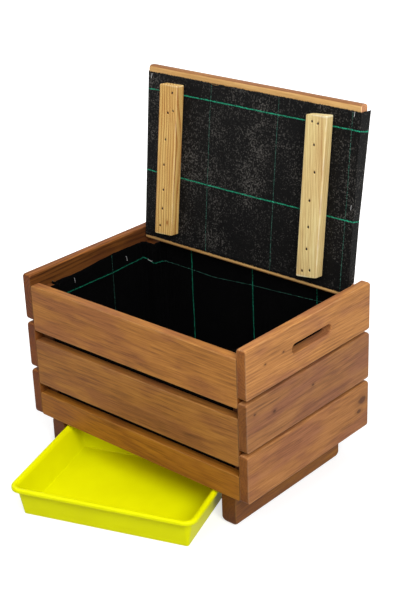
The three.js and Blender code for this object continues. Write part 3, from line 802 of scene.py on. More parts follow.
LID_BOARDS = [f"lid_board_{number}" for number in (1, 2, 3, 4)]
for name in LID_BOARDS:
    rounds = (2 if name != LID_BOARDS[-1] else 6, 2 if name != LID_BOARDS[0] else 6, 2, 0.8)
    board(name, LID_WOOD, ALONG_X, ALONG_Y, rounds, "stained_wood", "lid", lid_place)
BATTENS = {  # skew in degrees, and what each sawn end adds to the node, in millimetres, and its slant
    "left": (0.8, ((3.0, -0.043), (-1.5, -0.081))),
    "right": (0.1, ((2.3, -0.085), (-0.3, -0.117))),
}
for side, (skew, ends) in BATTENS.items():
    turned = lid_place @ Matrix.Rotation(math.radians(skew), 4, "Z")
    board(f"batten_{side}", RAW_PINE, ALONG_Y, ALONG_X, (2.8, 2.8, 2, 0.6), "raw_pine", "lid", turned,
          nail_dents, ends)


# Cloth

CLOTH_THICKNESS = 0.8 * MM


def soft(x, low, high):
    """Rises smoothly from 0 at low to 1 at high."""
    share = min(max((x - low) / (high - low), 0.0), 1.0)
    return share * share * (3 - 2 * share)


def ripple(*place):
    """Smooth noise from -1 to 1."""
    return noise.noise(Vector(place))


def cloth_piece(name, mesh, body):
    """Gives a cloth its thickness, away from the side that its faces look to, and attaches it to its
    body in place of its node.
    """
    piece = add_piece(name + "_sheet", mesh)
    wall = piece.modifiers.new("thickness", "SOLIDIFY")
    wall.thickness = CLOTH_THICKNESS
    wall.offset = -1
    run_modifiers(piece)
    for polygon in piece.data.polygons:
        polygon.use_smooth = True
    return hand_in(piece, body, "black_cloth", name)


LID_CLOTH_BEND = 1.6 * MM
FLAP_START = 25.5 * MM
FLAP_MIDDLE = 141 * MM
FLAP_TOPS = (-1.5 * MM, 0, 10 * MM)
LID_SLACK = 2.2 * MM
SLACK_EDGE_X = (205 * MM, 240 * MM)  # where the slack ends towards the lid's ends
SLACK_EDGE_FRONT = (34 * MM, 70 * MM)
SLACK_EDGE_REAR = (40 * MM, 8 * MM)
SLACK_BY_BATTEN = (2 * MM, 26 * MM)
FLAP_INSET = 0.15 * MM
FLAP_FOLD = 7.5 * MM
FLAP_FOLD_DEPTH = 0.9 * MM
TEAR_AT = -82 * MM
TEAR_WIDTH = 20 * MM
TEAR_DEPTH = 2.6 * MM

lid_high = box_in(lid_place, *LID_BOARDS)[1]
lid_cloth_low, lid_cloth_high = box_in(lid_place, "lid_cloth")
batten_boxes = [box_in(lid_place, f"batten_{side}") for side in BATTENS]
FLAP_X = lid_cloth_high.x - FLAP_INSET
LID_FLAT = FLAP_X - LID_CLOTH_BEND
BEND_RUN = LID_CLOTH_BEND * QUARTER


def lid_cloth_slack(x, y):
    """How far the lid's cloth hangs away from the boards between the battens and the edges."""
    loose = soft(y, *(lid_cloth_low.y + away for away in SLACK_EDGE_FRONT))
    loose *= 1 - soft(y, *(lid_cloth_high.y - away for away in SLACK_EDGE_REAR))
    loose *= 1 - soft(abs(x), *SLACK_EDGE_X)
    for low, high in batten_boxes:
        beside = max(low.x - x, x - high.x, low.y - y, y - high.y)
        loose *= soft(beside, *SLACK_BY_BATTEN)
    wave = 0.55 + 0.45 * ripple(x * 14, y * 7, 0.3) + 0.3 * ripple(x * 40, y * 16, 4.1)
    return LID_SLACK * loose * min(max(wave, 0.0), 1.0)


def lid_cloth_point(across, y, lift=0.0):
    """A place on the outside of the lid's cloth, in the lid's frame, and its outward normal. across
    runs along the cloth from its middle, over the end of the lid and up the flap."""
    sign = 1 if across >= 0 else -1
    run = abs(across)
    if run <= LID_FLAT:
        normal = Vector((0, 0, -1))
        point = Vector((across, y, lid_cloth_low.z - lid_cloth_slack(across, y)))
    elif run <= LID_FLAT + BEND_RUN:
        angle = (run - LID_FLAT) / LID_CLOTH_BEND
        normal = Vector((sign * math.sin(angle), 0, -math.cos(angle)))
        centre = Vector((sign * LID_FLAT, y, lid_cloth_low.z + LID_CLOTH_BEND))
        point = centre + normal * LID_CLOTH_BEND
    else:
        normal = Vector((sign, 0, 0))
        height = LID_CLOTH_BEND + run - LID_FLAT - BEND_RUN
        point = Vector((sign * FLAP_X, y, lid_cloth_low.z + height))
    sway = 2.5 * MM * ripple(y * 9, sign * 3, 0.0)
    fold = 0.5 + 0.5 * math.cos(2 * math.pi * (run + sway) / FLAP_FOLD)
    fold *= FLAP_FOLD_DEPTH * soft(run, LID_FLAT - 16 * MM, LID_FLAT)
    fold *= 0.6 + 0.4 * ripple(y * 25, run * 60, 6.0)
    fold *= 1 - 0.7 * soft(run, LID_FLAT, LID_FLAT + BEND_RUN)
    return point + normal * (lift + fold), normal


def flap_height(y):
    """How far the flap reaches past the bend, which ends it short of or past the lid's face."""
    from_rear = lid_high.y - y
    cloth_front = lid_high.y - lid_cloth_low.y
    places = (FLAP_START, FLAP_MIDDLE, cloth_front)
    top = lid_high.z + float(np.interp(from_rear, places, FLAP_TOPS))
    full = top - lid_cloth_low.z - LID_CLOTH_BEND
    return max(full * soft(from_rear, FLAP_START - 5 * MM, FLAP_START + 1 * MM), 0.4 * MM)


def cut_edge(x, which):
    """How far a cut edge of the cloth wanders, in metres."""
    return (1.2 * ripple(x * 50, which, 0.0) + 1.2 * ripple(x * 240, which, 7.0)) * MM


LID_ROWS = 72
LID_PANEL_POINTS = 401
BEND_POINTS = 5
FLAP_POINTS = 8
LID_HEM = 1.0 * MM


def lid_cloth():
    panel = list(np.linspace(-LID_FLAT, LID_FLAT, LID_PANEL_POINTS))
    corner = [LID_FLAT + BEND_RUN * k / BEND_POINTS for k in range(1, BEND_POINTS + 1)]
    points, coordinates = [], []
    for r in range(LID_ROWS):
        share = r / (LID_ROWS - 1)
        y_row = lid_cloth_high.y + (lid_cloth_low.y - lid_cloth_high.y) * share
        height = flap_height(y_row)
        runs = corner + [corner[-1] + k / FLAP_POINTS * height for k in range(1, FLAP_POINTS + 1)]
        row = [-run for run in reversed(runs)] + panel + runs
        for across in row:
            torn = math.exp(-((across - TEAR_AT) / (TEAR_WIDTH / 2)) ** 4) * TEAR_DEPTH
            front_in = LID_HEM + cut_edge(across, 1.0) + torn
            rear_in = LID_HEM + cut_edge(across, 2.0)
            y = y_row - rear_in * (1 - share) ** 12 + front_in * share ** 12
            points.append(lid_place @ lid_cloth_point(across, y)[0])
            coordinates.append((across, y))
    mesh = new_mesh("lid cloth", points, grid_faces(LID_ROWS, len(row)), finish=LID_CLOTH)
    layer = mesh.uv_layers.new(name="weave")
    for loop in mesh.loops:
        layer.data[loop.index].uv = coordinates[loop.vertex_index]
    return cloth_piece("lid_cloth", mesh, "lid")


lid_sheet = lid_cloth()

FIT_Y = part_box("front_board_top")[0].y
FIT_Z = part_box("side_board_left_top")[1].z
LINING_STEP = 4.5 * MM
LINING_ROUND = 8 * MM
POST_EDGE_ROUND = 2.5 * MM
LINING_SEAT = 0.3 * MM
FLOOR_ROUND = 7 * MM
GATHER_DEPTH = 3.6 * MM
GATHER_PITCH = 13 * MM
GATHER_REACH = 38 * MM
SLACK_DEPTH = 2.0 * MM
MOST_SLACK = 4.2 * MM
SLACK_FOOT = (6 * MM, 90 * MM)  # above the floor
SLACK_HEAD = (75 * MM, 50 * MM)  # below the top, at the front wall alone
GATHER_FULL = 10 * MM
# The lining's top edge: places from the front, and depths below the crate's top, in millimetres
LINING_TOP_AT = (20, 46, 52, 57, 82, 107, 133, 160, 187, 214, 241, 296, 339)
LINING_TOP_DEPTHS = (22, 22.5, 30, 32.4, 32.6, 33.5, 32.8, 30.9, 28.9, 27.9, 26.7, 27.7, 29.3)

post_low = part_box("corner_post_rear_right")[0]
wall_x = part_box("side_board_right_top")[0].x - LINING_SEAT
post_x = post_low.x - LINING_SEAT
wall_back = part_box("back_board_top")[0].y - LINING_SEAT
wall_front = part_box("front_board_top")[1].y + LINING_SEAT
lining_middle = (wall_back + wall_front) / 2
wall_y = (wall_back - wall_front) / 2
post_y = post_low.y - LINING_SEAT - lining_middle
lining_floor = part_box("floor_board_middle")[1].z + LINING_SEAT
BEND_STEPS = 6


def rounded_path(corners, radii, step):
    """Points along a plan line whose corners are rounded, each with the normal to its left."""
    turn_left = Matrix.Rotation(QUARTER, 2)
    path = []
    position = corners[0].copy()
    for i in range(1, len(corners)):
        into = (corners[i] - corners[i - 1]).normalized()
        left = turn_left @ into
        radius = radii[i]
        stop = corners[i] - into * radius
        count = max(1, round((stop - position).length / step))
        path += [(position.lerp(stop, k / count), left) for k in range(count)]
        if i == len(corners) - 1:
            return path + [(stop, left)]
        out = (corners[i + 1] - corners[i]).normalized()
        way = 1 if into.cross(out) > 0 else -1
        centre = stop + left * way * radius
        for k in range(BEND_STEPS):
            normal = Matrix.Rotation(way * k / BEND_STEPS * QUARTER, 2) @ left
            path.append((centre - normal * way * radius, normal))
        position = corners[i] + out * radius


def lining_outline():
    """The plan of the lining's outer face, counter-clockwise, from the middle of the right wall."""
    places = ((wall_x, 0), (wall_x, post_y), (post_x, post_y), (post_x, wall_y), (0, wall_y))
    quarter = rounded_path([Vector(place) for place in places],
                           (0, LINING_ROUND, POST_EDGE_ROUND, LINING_ROUND, 0), LINING_STEP)
    path = []
    for sx, sy in ((1, 1), (-1, 1), (-1, -1), (1, -1)):
        part = quarter if sx == sy else quarter[::-1]
        path += [(Vector((p.x * sx, p.y * sy)), Vector((n.x * sx, n.y * sy))) for p, n in part[:-1]]
    return path


outline = lining_outline()
outline_points = np.array([[*point, *normal] for point, normal in outline + outline[:1]])
outline_run = np.concatenate([[0], np.cumsum(np.hypot(*np.diff(outline_points[:, :2], axis=0).T))])
LINING_ROUND_LENGTH = float(outline_run[-1])


def outline_at(run):
    """The plan point and inward normal at a distance along the outline."""
    run = run % LINING_ROUND_LENGTH
    x, y, nx, ny = (float(np.interp(run, outline_run, outline_points[:, k])) for k in range(4))
    return Vector((x, y)), Vector((nx, ny)).normalized()


def run_at(x, y):
    """The distance along the outline of the point nearest to a place in the plan."""
    away = np.hypot(outline_points[:-1, 0] - x, outline_points[:-1, 1] - (y - lining_middle))
    return float(outline_run[int(np.argmin(away))])


def lining_top(y):
    """The height of the lining's top edge, which falls towards the front."""
    back = (y + lining_middle - FIT_Y) / MM
    return FIT_Z - float(np.interp(back, LINING_TOP_AT, LINING_TOP_DEPTHS)) * MM


def floor_height(x, y):
    """The height of the cloth on the crate's floor, where x and y run from the lining's middle."""
    inside = min(wall_x - abs(x), wall_y - abs(y)) - FLOOR_ROUND
    return lining_floor + 0.8 * MM * soft(inside, 0.0, 40 * MM) * (1 + ripple(x * 18, y * 18, 0.7))


def lining_slack(run, point, z):
    """How far the cloth stands off the wall: gathers beside the posts and slack waves between."""
    mirrored = Vector((abs(point.x), abs(point.y)))
    corners = (wall_x, post_y), (post_x, wall_y)
    near = min((mirrored - Vector(corner)).length for corner in corners)
    rise = soft(z, *(lining_floor + up for up in SLACK_FOOT))
    sway = 3 * MM * ripple(run * 9, z * 7, 0.0)
    fold = 0.5 - 0.5 * math.cos(2 * math.pi * (run + sway) / GATHER_PITCH)
    gather = GATHER_DEPTH * fold * (1 - soft(near, GATHER_FULL, GATHER_REACH))
    gather *= 0.65 + 0.35 * ripple(run * 30, z * 3, 5.0)
    if point.y < -wall_y + 1 * MM:
        rise *= 1 - soft(z, *(FIT_Z - down for down in SLACK_HEAD))
    wave = 0.5 + 0.5 * ripple(run * 11, z * 9, 2.0) + 0.25 * ripple(run * 45, z * 22, 8.0)
    slack = SLACK_DEPTH * min(max(wave, 0.0), 1.0) * soft(near, GATHER_FULL, GATHER_REACH)
    return min(max(gather + slack, 0.0), MOST_SLACK) * rise


def lining_point(run, z, lift=0.0):
    """A place on the inside of the lining's wall and its normal, into the crate."""
    point, normal = outline_at(run)
    inner = point + normal * (lining_slack(run, point, z) + CLOTH_THICKNESS + lift)
    return Vector((inner.x, inner.y + lining_middle, z)), Vector((*normal, 0))


WALL_LEVELS = 48
FLOOR_RINGS = 14


def crate_lining():
    runs = outline_run[:-1]
    count = len(runs)
    rows = []
    bottom = lining_floor + FLOOR_ROUND
    for level in range(WALL_LEVELS + 1):
        row = []
        for run, (point, normal) in zip(runs, outline):
            edge = (1.0 + 0.8 * ripple(run * 50, 3.0, 0.0) + 0.5 * ripple(run * 220, 9.0, 0.0)) * MM
            z = bottom + (lining_top(point.y) - edge - bottom) * (1 - level / WALL_LEVELS)
            row.append((*(point + normal * lining_slack(run, point, z)), z))
        rows.append(row)
    for k in range(1, BEND_STEPS + 1):
        angle = k / BEND_STEPS * QUARTER
        inset = FLOOR_ROUND * (1 - math.cos(angle))
        z = lining_floor + FLOOR_ROUND * (1 - math.sin(angle))
        rows.append([(*(point + normal * inset), z) for point, normal in outline])
    wall_rows = len(rows)
    ridge = wall_x - wall_y
    for k in range(1, FLOOR_RINGS + 1):
        row = []
        for point, normal in outline:
            end = Vector((min(max(point.x, -ridge), ridge), 0))
            place = (point + normal * FLOOR_ROUND).lerp(end, k / FLOOR_RINGS)
            row.append((*place, floor_height(*place)))
        rows.append(row)
    points = [(x, y + lining_middle, z) for row in rows for x, y, z in row]
    mesh = new_mesh("crate lining", points, grid_faces(len(rows), count, wrap=True), finish=SHADED_LINING_CLOTH)
    layer = mesh.uv_layers.new(name="weave")
    for face_number, polygon in enumerate(mesh.polygons):
        row, column = divmod(face_number, count)
        for loop in polygon.loop_indices:
            vertex = mesh.loops[loop].vertex_index
            x, y, z = points[vertex]
            closing = column == count - 1 and vertex % count == 0
            run = LINING_ROUND_LENGTH if closing else outline_run[vertex % count]
            layer.data[loop].uv = (x, y) if row >= wall_rows - 1 else (run, z)
    shell = bmesh.new()
    shell.from_mesh(mesh)
    bmesh.ops.remove_doubles(shell, verts=shell.verts, dist=0.02 * MM)
    bmesh.ops.dissolve_degenerate(shell, edges=shell.edges, dist=0.01 * MM)
    shell.to_mesh(mesh)
    shell.free()
    return cloth_piece("crate_lining", mesh, "crate")


lining_sheet = crate_lining()


# Marker threads and staples


def stitch_tree():
    """Short raised stitches along lines that lie on the cloth. The lines' attribute face is the
    way out of the cloth, and Uneven the share by which the stitches differ."""
    sizes = "Pitch Stitch Wide High Uneven"
    tree = ShapeGroup("Stitches", {"Geometry": "Lines", "Float": sizes, "Material": "Finish"})
    pitch, stitch, wide, high, spread_share = map(tree.given, sizes.split())
    curve = tree.out("GeometryNodeMeshToCurve", {"Mesh": tree.given("Lines")})
    spaced = tree.out("GeometryNodeResampleCurve", {"Curve": curve, "Length": pitch}, mode="LENGTH")
    bead = tree.out("GeometryNodeMeshUVSphere", {"Segments": 8, "Rings": 5, "Radius": 1.0})
    shaped = tree.out("GeometryNodeTransform",
                      {"Geometry": bead, "Scale": tree.vector(stitch / 2, wide / 2, high / 2)})
    along = tree.out("GeometryNodeInputTangent")
    face = tree.out("GeometryNodeInputNamedAttribute", {"Name": "face"}, data_type="FLOAT_VECTOR")
    turned = tree.out("FunctionNodeAlignRotationToVector", {"Vector": along}, axis="X")
    settled = tree.out("FunctionNodeAlignRotationToVector", {"Rotation": turned, "Vector": face},
                       axis="Z", pivot_axis="X")
    uneven = tree.add("FunctionNodeRandomValue", {"Seed": 5}, data_type="FLOAT")
    for label, value in (("Min", 1 - spread_share), ("Max", 1 + spread_share)):
        tree.feed(next(i for i in uneven.inputs if i.name == label and i.type == "VALUE"), value)
    values = {"Points": spaced, "Instance": shaped, "Rotation": settled,
              "Scale": uneven.outputs["Value"]}
    return tree.give_shape(tree.out("GeometryNodeInstanceOnPoints", values))


def wire_tree():
    """Round wire along lines, for the staples."""
    tree = ShapeGroup("Wire", {"Geometry": "Lines", "Float": "Radius", "Material": "Finish"})
    curve = tree.out("GeometryNodeMeshToCurve", {"Mesh": tree.given("Lines")})
    section = tree.out("GeometryNodeCurvePrimitiveCircle",
                       {"Resolution": 8, "Radius": tree.given("Radius")})
    return tree.give_shape(tree.out("GeometryNodeCurveToMesh",
                                    {"Curve": curve, "Profile Curve": section, "Fill Caps": True}))


STITCHES = stitch_tree()
WIRE = wire_tree()


def lines_piece(name, body, slot, lines, tree, **values):
    """Runs a tree on open lines. Each line is a list of places, each with the way out of the cloth."""
    points, faces, edges = [], [], []
    for line in lines:
        edges += [(len(points) + k, len(points) + k + 1) for k in range(len(line) - 1)]
        points += [place for place, _ in line]
        faces += [out for _, out in line]
    mesh = new_mesh(name, points, [], edges)
    set_attribute(mesh, "face", faces)
    piece = add_piece(name, mesh)
    add_tree(piece, tree, **values)
    run_modifiers(piece)
    return hand_in(piece, body, slot)


def on_lid(across, y, lift=0.05 * MM):
    point, normal = lid_cloth_point(across, y, lift)
    return lid_place @ point, lid_place.to_3x3() @ normal


LINE_STEP = 2 * MM


def spread(first, last):
    count = max(2, round(abs(last - first) / LINE_STEP))
    return [first + (last - first) * k / count for k in range(count + 1)]


LID_LINES = (311 * MM, 146 * MM)
LID_COLUMNS = (-90 * MM, 73 * MM, 237 * MM)
ROW_GAP = 0.6 * MM
THREAD_ROWS = ((-ROW_GAP, 0.0), (ROW_GAP, 1.45 * MM))  # each row's place and where it starts
THREAD_SHORT = 1.5 * MM  # of the end of its line
LINE_FALL = 0.13
BRIGHT_STITCH = dict(Pitch=3.0 * MM, Stitch=2.4 * MM, Wide=1.25 * MM, High=0.5 * MM, Uneven=0.3)
SHADED_STITCH = {**BRIGHT_STITCH, "Wide": 0.95 * MM}
DULL_STITCH = dict(Pitch=2.7 * MM, Stitch=1.8 * MM, Wide=0.9 * MM, High=0.5 * MM, Uneven=0.35)
FRAY = dict(Pitch=2.1 * MM, Stitch=1.5 * MM, Wide=3.6 * MM, High=0.5 * MM, Uneven=0.35)
FRAY_IN = 1.5 * MM
FRAY_SUNK = -0.35 * MM


def lid_threads():
    bright, dull = [], []
    for from_rear in LID_LINES:
        y_line = lid_high.y - from_rear
        reach = lid_cloth_high.x + flap_height(y_line) + 0.5 * MM
        for row, start in THREAD_ROWS:
            line = []
            for across in spread(-reach + start, reach - THREAD_SHORT):
                drift = 0.8 * MM * ripple(across * 12, from_rear * 9, 0.0)
                drift += LINE_FALL * max(abs(across) - lid_cloth_high.x + LID_CLOTH_BEND, 0.0)
                line.append(on_lid(across, y_line + row + drift))
            bright.append(line)
    for column in LID_COLUMNS:
        dull.append([on_lid(column + 1.2 * MM * ripple(column * 9, y * 9, 2.0), y)
                     for y in spread(lid_cloth_high.y - 2.5 * MM, lid_cloth_low.y + 4.5 * MM)])
    return bright, dull


def lid_frays():
    """Lines along the cut edges of the lid's cloth, where its tapes come loose."""
    lines = [[on_lid(across, y, FRAY_SUNK) for across in spread(-LID_FLAT, LID_FLAT)]
             for y in (lid_cloth_high.y - FRAY_IN, lid_cloth_low.y + FRAY_IN)]
    for sign in (-1, 1):
        lines.append([on_lid(sign * (LID_FLAT + BEND_RUN + flap_height(y) - FRAY_IN), y, FRAY_SUNK)
                      for y in spread(lid_high.y - FLAP_START - 2 * MM, lid_cloth_low.y + 1 * MM)])
    return lines


SIDE_LINES = [  # plan places from the front boards' faces, and depths below the crate's top
    [(-255, 50, 66.5), (-255, 95, 67), (-255, 217, 68), (-255, 309, 63.8), (-242, 311, 68),
     (-227, 311, 72), (-227, 337, 75)],
    [(255, 309, 45), (255, 180, 43), (255, 50, 42)],
]
CROSS_LINES = [
    [(-226, 339, 75), (-155, 339, 75.4), (-87, 339, 77), (10, 339, 69), (188, 339, 58), (226, 339, 55)],
    [(226, 20, 141), (0, 20, 141), (-226, 20, 141)],
]
SECOND_LINE_DROP = 160
CROSS_COLUMNS = (-146, 13.5, 171.5)
SIDE_COLUMNS = (48, 217)
THREAD_LIFT = 0.1 * MM
FLOOR_MARGIN = 2 * MM
BACK_WALL, FRONT_WALL, SIDE_WALL = 339, 20, 255  # plan places of the walls


def along_lining(places, drop=0, row=0.0, start=0.0):
    """A line on the lining through places in the plan, at their depths below the crate's top and a
    drop further down."""
    runs = [run_at(x * MM, y * MM + FIT_Y) for x, y, _ in places]
    steps = [(b - a + LINING_ROUND_LENGTH / 2) % LINING_ROUND_LENGTH - LINING_ROUND_LENGTH / 2
             for a, b in zip(runs, runs[1:])]
    whole = np.concatenate([[runs[0]], runs[0] + np.cumsum(steps)])
    depths = np.array([(depth + drop) * MM for _, _, depth in places])
    order = 1 if whole[-1] >= whole[0] else -1
    line = []
    for run in spread(whole[0] + order * start, whole[-1] - order * THREAD_SHORT):
        depth = float(np.interp(run * order, whole * order, depths))
        z = FIT_Z - depth + row + 0.6 * MM * ripple(run * 14, 0.0, 1.0)
        line.append(lining_point(run, z, THREAD_LIFT))
    return line


def up_lining(x, y, row=0.0):
    """A line up the lining's wall at a place in the plan."""
    run = run_at(x * MM, y * MM + FIT_Y) + row
    top = lining_top(y * MM + FIT_Y - lining_middle) - 3.5 * MM
    return [lining_point(run + 1.5 * MM * ripple(run * 9, z * 9, 2.0), z, THREAD_LIFT)
            for z in spread(top, lining_floor + FLOOR_ROUND)]


def over_floor(start, end):
    """A line over the lining's floor between two places measured from the lining's middle."""
    start, end = Vector(start), Vector(end)
    count = round((end - start).length / LINE_STEP)
    line = []
    for k in range(count + 1):
        x, y = start.lerp(end, k / count)
        height = floor_height(x, y) + CLOTH_THICKNESS + THREAD_LIFT
        line.append((Vector((x, y + lining_middle, height)), ALONG_Z))
    return line


def lining_threads():
    bright, dull = [], []
    floor_x = wall_x - FLOOR_ROUND - FLOOR_MARGIN
    floor_y = wall_y - FLOOR_ROUND - FLOOR_MARGIN
    for drop in (0, SECOND_LINE_DROP):
        for row, start in THREAD_ROWS:
            bright += [along_lining(line, drop, row, start) for line in SIDE_LINES]
    for drop, lines in ((0, CROSS_LINES), (SECOND_LINE_DROP, CROSS_LINES[:1])):
        dull += [along_lining(line, drop) for line in lines]
    for x in CROSS_COLUMNS:
        for row in (-ROW_GAP, ROW_GAP):
            bright += [up_lining(x, BACK_WALL, row), up_lining(x, FRONT_WALL, row)]
            bright.append(over_floor((x * MM + row, -floor_y), (x * MM + row, floor_y)))
    for y in SIDE_COLUMNS:
        dull += [up_lining(-SIDE_WALL, y), up_lining(SIDE_WALL, y)]
        middle = y * MM + FIT_Y - lining_middle
        dull.append(over_floor((-floor_x, middle), (floor_x, middle)))
    return bright, dull


def stitched(name, body, lines, finish, sizes):
    return lines_piece(name, body, "black_cloth", lines, STITCHES, Finish=finish, **sizes)


sewn = {}
for body, (bright_lines, dull_lines), *bright in (
    ("lid", lid_threads(), BRIGHT_THREAD, BRIGHT_STITCH),
    ("crate", lining_threads(), SHADED_THREAD, SHADED_STITCH),
):
    sewn[body] = [
        stitched(f"{body}_bright_threads", body, bright_lines, *bright),
        stitched(f"{body}_dull_threads", body, dull_lines, DULL_THREAD, DULL_STITCH),
    ]
sewn["lid"].append(stitched("lid_cloth_frays", "lid", lid_frays(), FRAYED_TAPE, FRAY))

STAPLE_CROWN = 10 * MM
STAPLE_LEG = 4 * MM
STAPLE_WIRE = 0.45 * MM
STAPLE_BEND = 1.0 * MM
STAPLE_SUNK = 0.55 * MM  # how deep the lid's staples are pressed into its cloth


def staple(place, out, along):
    """The line of one staple's wire, its crown on the cloth and its legs in the wood."""
    half = STAPLE_CROWN / 2
    line = [place - along * half - out * STAPLE_LEG]
    for sign in (-1, 1):
        centre = place + along * sign * (half - STAPLE_BEND) + out * (STAPLE_WIRE - STAPLE_BEND)
        for k in range(5)[::-sign]:
            angle = k / 4 * QUARTER
            line.append(centre + STAPLE_BEND * (along * sign * math.cos(angle) + out * math.sin(angle)))
    line.append(place + along * half - out * STAPLE_LEG)
    return [(point, out) for point in line]


def on_lining(x, y, depth, lean):
    run = run_at(x * MM, y * MM + FIT_Y)
    place, out = lining_point(run, FIT_Z - depth * MM)
    level = out.cross(ALONG_Z).normalized()
    return staple(place, out, (level * math.cos(lean) + ALONG_Z * math.sin(lean)).normalized())


def on_lid_cloth(across, from_rear, lean):
    y = lid_high.y - from_rear * MM
    place, out = on_lid(across * MM, y, -STAPLE_SUNK)
    side = (on_lid(across * MM + 1 * MM, y, -STAPLE_SUNK)[0] - place).normalized()
    return staple(place, out, side * math.cos(lean) + out.cross(side).normalized() * math.sin(lean))


LINING_STAPLES = [  # plan place, depth and lean
    (-255, 110, 48, 1.45), (-255, 258, 51, 1.4), (-238, 311, 68, 0.15), (-100, 339, 33, 0.1),
    (60, 339, 33, -0.2), (200, 339, 33, 0.0), (255, 110, 50, 1.5), (255, 258, 48, 1.4),
    (-150, 20, 55, 0.2), (0, 20, 55, -0.1), (150, 20, 56, 0.15),
]
LID_STAPLES = [(240.6, 338.8, 1.45), (-245.2, 336.8, 1.4), (248, 172, 1.5)]
for name, body, lines in (
    ("lining_staples", "crate", [on_lining(*where) for where in LINING_STAPLES]),
    ("lid_staples", "lid", [on_lid_cloth(*where) for where in LID_STAPLES]),
):
    lines_piece(name, body, "steel", lines, WIRE, Radius=STAPLE_WIRE, Finish=BRIGHT_STEEL)


# Drip tray

TRAY_WALL = 2.6 * MM
TRAY_FLOOR = 3 * MM
TRAY_CORNER = 24 * MM
TRAY_LEAST_CORNER = 2.6 * MM
TRAY_TAPER = 19.5 * MM
TRAY_RIM = 9.5 * MM
TRAY_SKIRT = 7.6 * MM
TRAY_RIM_ROUND = 3.6 * MM
TRAY_LIP_ROUND = 1.3 * MM
TRAY_MOUTH_DEPTH = 8 * MM
TRAY_MOUTH_START = 4.6 * MM
TRAY_BASE_ROUND = 2 * MM
TRAY_FILLET = 2.5 * MM
TRAY_CREASE = 1.2 * MM
TRAY_POINTS = 14
TRAY_BASE_MARGIN = 60 * MM

tray_low, tray_high = box_in(tray_place, "drip_tray")


def tray_ring(inset, z):
    """A rounded rectangle, inset from the rim's outer edge, whose corners share one centre."""
    half_x = (tray_high.x - tray_low.x) / 2 - inset
    half_y = (tray_high.y - tray_low.y) / 2 - inset
    radius = max(TRAY_CORNER - inset, TRAY_LEAST_CORNER)
    ring = []
    for corner, (sx, sy) in enumerate(((1, 1), (-1, 1), (-1, -1), (1, -1))):
        for k in range(TRAY_POINTS + 1):
            angle = (corner + k / TRAY_POINTS) * QUARTER
            ring.append(Vector((sx * (half_x - radius) + radius * math.cos(angle),
                                sy * (half_y - radius) + radius * math.sin(angle), z)))
    return ring


def bend(start, end, starts_level, count=7):
    """Insets and heights round a quarter bend."""
    places = []
    for k in range(count + 1):
        turn = k / count * QUARTER
        ahead, aside = math.sin(turn), 1 - math.cos(turn)
        along, up = (ahead, aside) if starts_level else (aside, ahead)
        places.append((start[0] + (end[0] - start[0]) * along, start[1] + (end[1] - start[1]) * up))
    return places


def tray_profile():
    """Insets and heights from the middle of the base, out, up, over the rim and down inside."""
    top = tray_high.z
    under = top - TRAY_WALL
    rim_bottom = top - TRAY_SKIRT
    mouth_bottom = top - TRAY_MOUTH_DEPTH
    fillet_top = TRAY_FLOOR + TRAY_FILLET
    lean = (TRAY_TAPER - TRAY_RIM) / under

    def inner(z):
        return TRAY_TAPER + TRAY_WALL - lean * z

    return [
        (TRAY_TAPER + TRAY_FILLET, 0.0),
        *bend((TRAY_TAPER + TRAY_BASE_ROUND, 0.0), (TRAY_TAPER, TRAY_BASE_ROUND), True),
        (TRAY_RIM + lean * TRAY_CREASE, under - TRAY_CREASE),
        (TRAY_RIM - TRAY_CREASE, under),
        *bend((TRAY_WALL + TRAY_CREASE, under), (TRAY_WALL, under - TRAY_CREASE), True, 3),
        *bend((TRAY_WALL, rim_bottom + TRAY_LIP_ROUND), (TRAY_LIP_ROUND, rim_bottom), False, 4),
        *bend((TRAY_LIP_ROUND, rim_bottom), (0.0, rim_bottom + TRAY_LIP_ROUND), True, 5),
        *bend((0.0, top - TRAY_RIM_ROUND), (TRAY_RIM_ROUND, top), False, 9),
        *bend((TRAY_MOUTH_START, top), (inner(mouth_bottom), mouth_bottom), True, 9),
        *((inner(z), z) for z in np.linspace(mouth_bottom, fillet_top, 5)[1:-1]),
        *bend((inner(fillet_top), fillet_top), (inner(fillet_top) + TRAY_FILLET, TRAY_FLOOR), False, 9),
        (inner(fillet_top) + TRAY_FILLET + TRAY_BASE_MARGIN, TRAY_FLOOR),
    ]


def drip_tray():
    mesh = rings_mesh("drip tray", [tray_ring(inset, z) for inset, z in tray_profile()], LIME)
    for polygon in mesh.polygons:
        polygon.use_smooth = True
    set_attribute(mesh, "tray_place", places_of(mesh))
    middle = (tray_low + tray_high) / 2
    mesh.transform(tray_place @ Matrix.Translation((middle.x, middle.y, 0)))
    piece = add_piece("drip_tray_shell", mesh)
    weigh_normals(piece)
    return hand_in(piece, "tray", "lime_plastic", "drip_tray")


drip_tray()

# Metal pieces of the frame keep their shape and get their finish
for name, node in nodes.items():
    if any(word in name for word in ("nail", "screw", "pin")):
        node.data.materials.clear()
        node.data.materials.append(DARK_STEEL if "nail" in name else BRIGHT_STEEL)


# Floor, light and background


def seen_by(paint, *rays):
    """1 for the rays of some kinds, else 0."""
    path = paint.add("ShaderNodeLightPath").outputs
    seen, *others = (Term(paint, path[f"Is {ray} Ray"]) for ray in rays)
    for other in others:
        seen = seen.most(other)
    return seen


FLOOR_HALF = 4.0


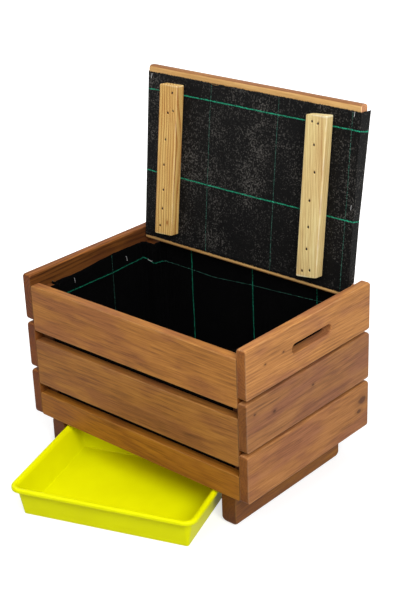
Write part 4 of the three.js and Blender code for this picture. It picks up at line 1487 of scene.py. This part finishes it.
def make_floor():
    corners = [(x * FLOOR_HALF, y * FLOOR_HALF, 0) for x, y in ((-1, -1), (1, -1), (1, 1), (-1, 1))]
    material = bpy.data.materials.new("pale floor")
    floor = add_piece("floor", new_mesh("floor", corners, [(0, 1, 2, 3)], finish=material))
    material.use_nodes = True
    material.node_tree.nodes.clear()
    paint = Nodes(material.node_tree)
    seen = seen_by(paint, "Camera", "Glossy")
    x, y, _ = paint.object_place()
    away = (x ** 2 + y ** 2).root().step(0.4, 1.2)
    lit = paint.out("ShaderNodeBsdfDiffuse", {"Color": (0.5, 0.5, 0.5, 1)})
    glow = paint.out("ShaderNodeEmission", {"Strength": seen * (0.66 + away * 0.4)})
    both = paint.out("ShaderNodeAddShader", {0: lit, 1: glow})
    paint.add("ShaderNodeOutputMaterial", {"Surface": both})


def make_background():
    world = bpy.data.worlds.new("studio")
    scene.world = world
    world.use_nodes = True
    world.node_tree.nodes.clear()
    paint = Nodes(world.node_tree)
    seen = seen_by(paint, "Camera", "Glossy", "Transmission")
    _, _, rise = paint.split(paint.add("ShaderNodeTexCoord").outputs["Generated"])
    white = (1, 1, 1, 1)
    fill = paint.out("ShaderNodeBackground",
                     {"Color": white, "Strength": rise.step(-0.1, 0.8) * 0.46 + 0.1})
    plain = paint.out("ShaderNodeBackground", {"Color": white, "Strength": 1.0})
    both = paint.out("ShaderNodeMixShader", {0: seen, 1: fill, 2: plain})
    paint.add("ShaderNodeOutputWorld", {"Surface": both})


make_floor()
make_background()
LAMP_TARGET = Vector((0, 0.05, 0.25))
for name, place, size, power in (
    ("key lamp", (2.4, -1.2, 2.2), 1.6, 78),
    ("front lamp", (-0.9, -2.6, 2.5), 2.0, 25),
    ("top lamp", (-0.2, 0.4, 3.2), 2.4, 26),
):
    lamp = bpy.data.lights.new(name, "AREA")
    lamp.shape = "DISK"
    lamp.size = size
    lamp.energy = power
    thing = add_piece(name, lamp)
    thing.location = place
    thing.rotation_euler = (LAMP_TARGET - Vector(place)).to_track_quat("-Z", "Y").to_euler()

scene.view_settings.view_transform = "Standard"
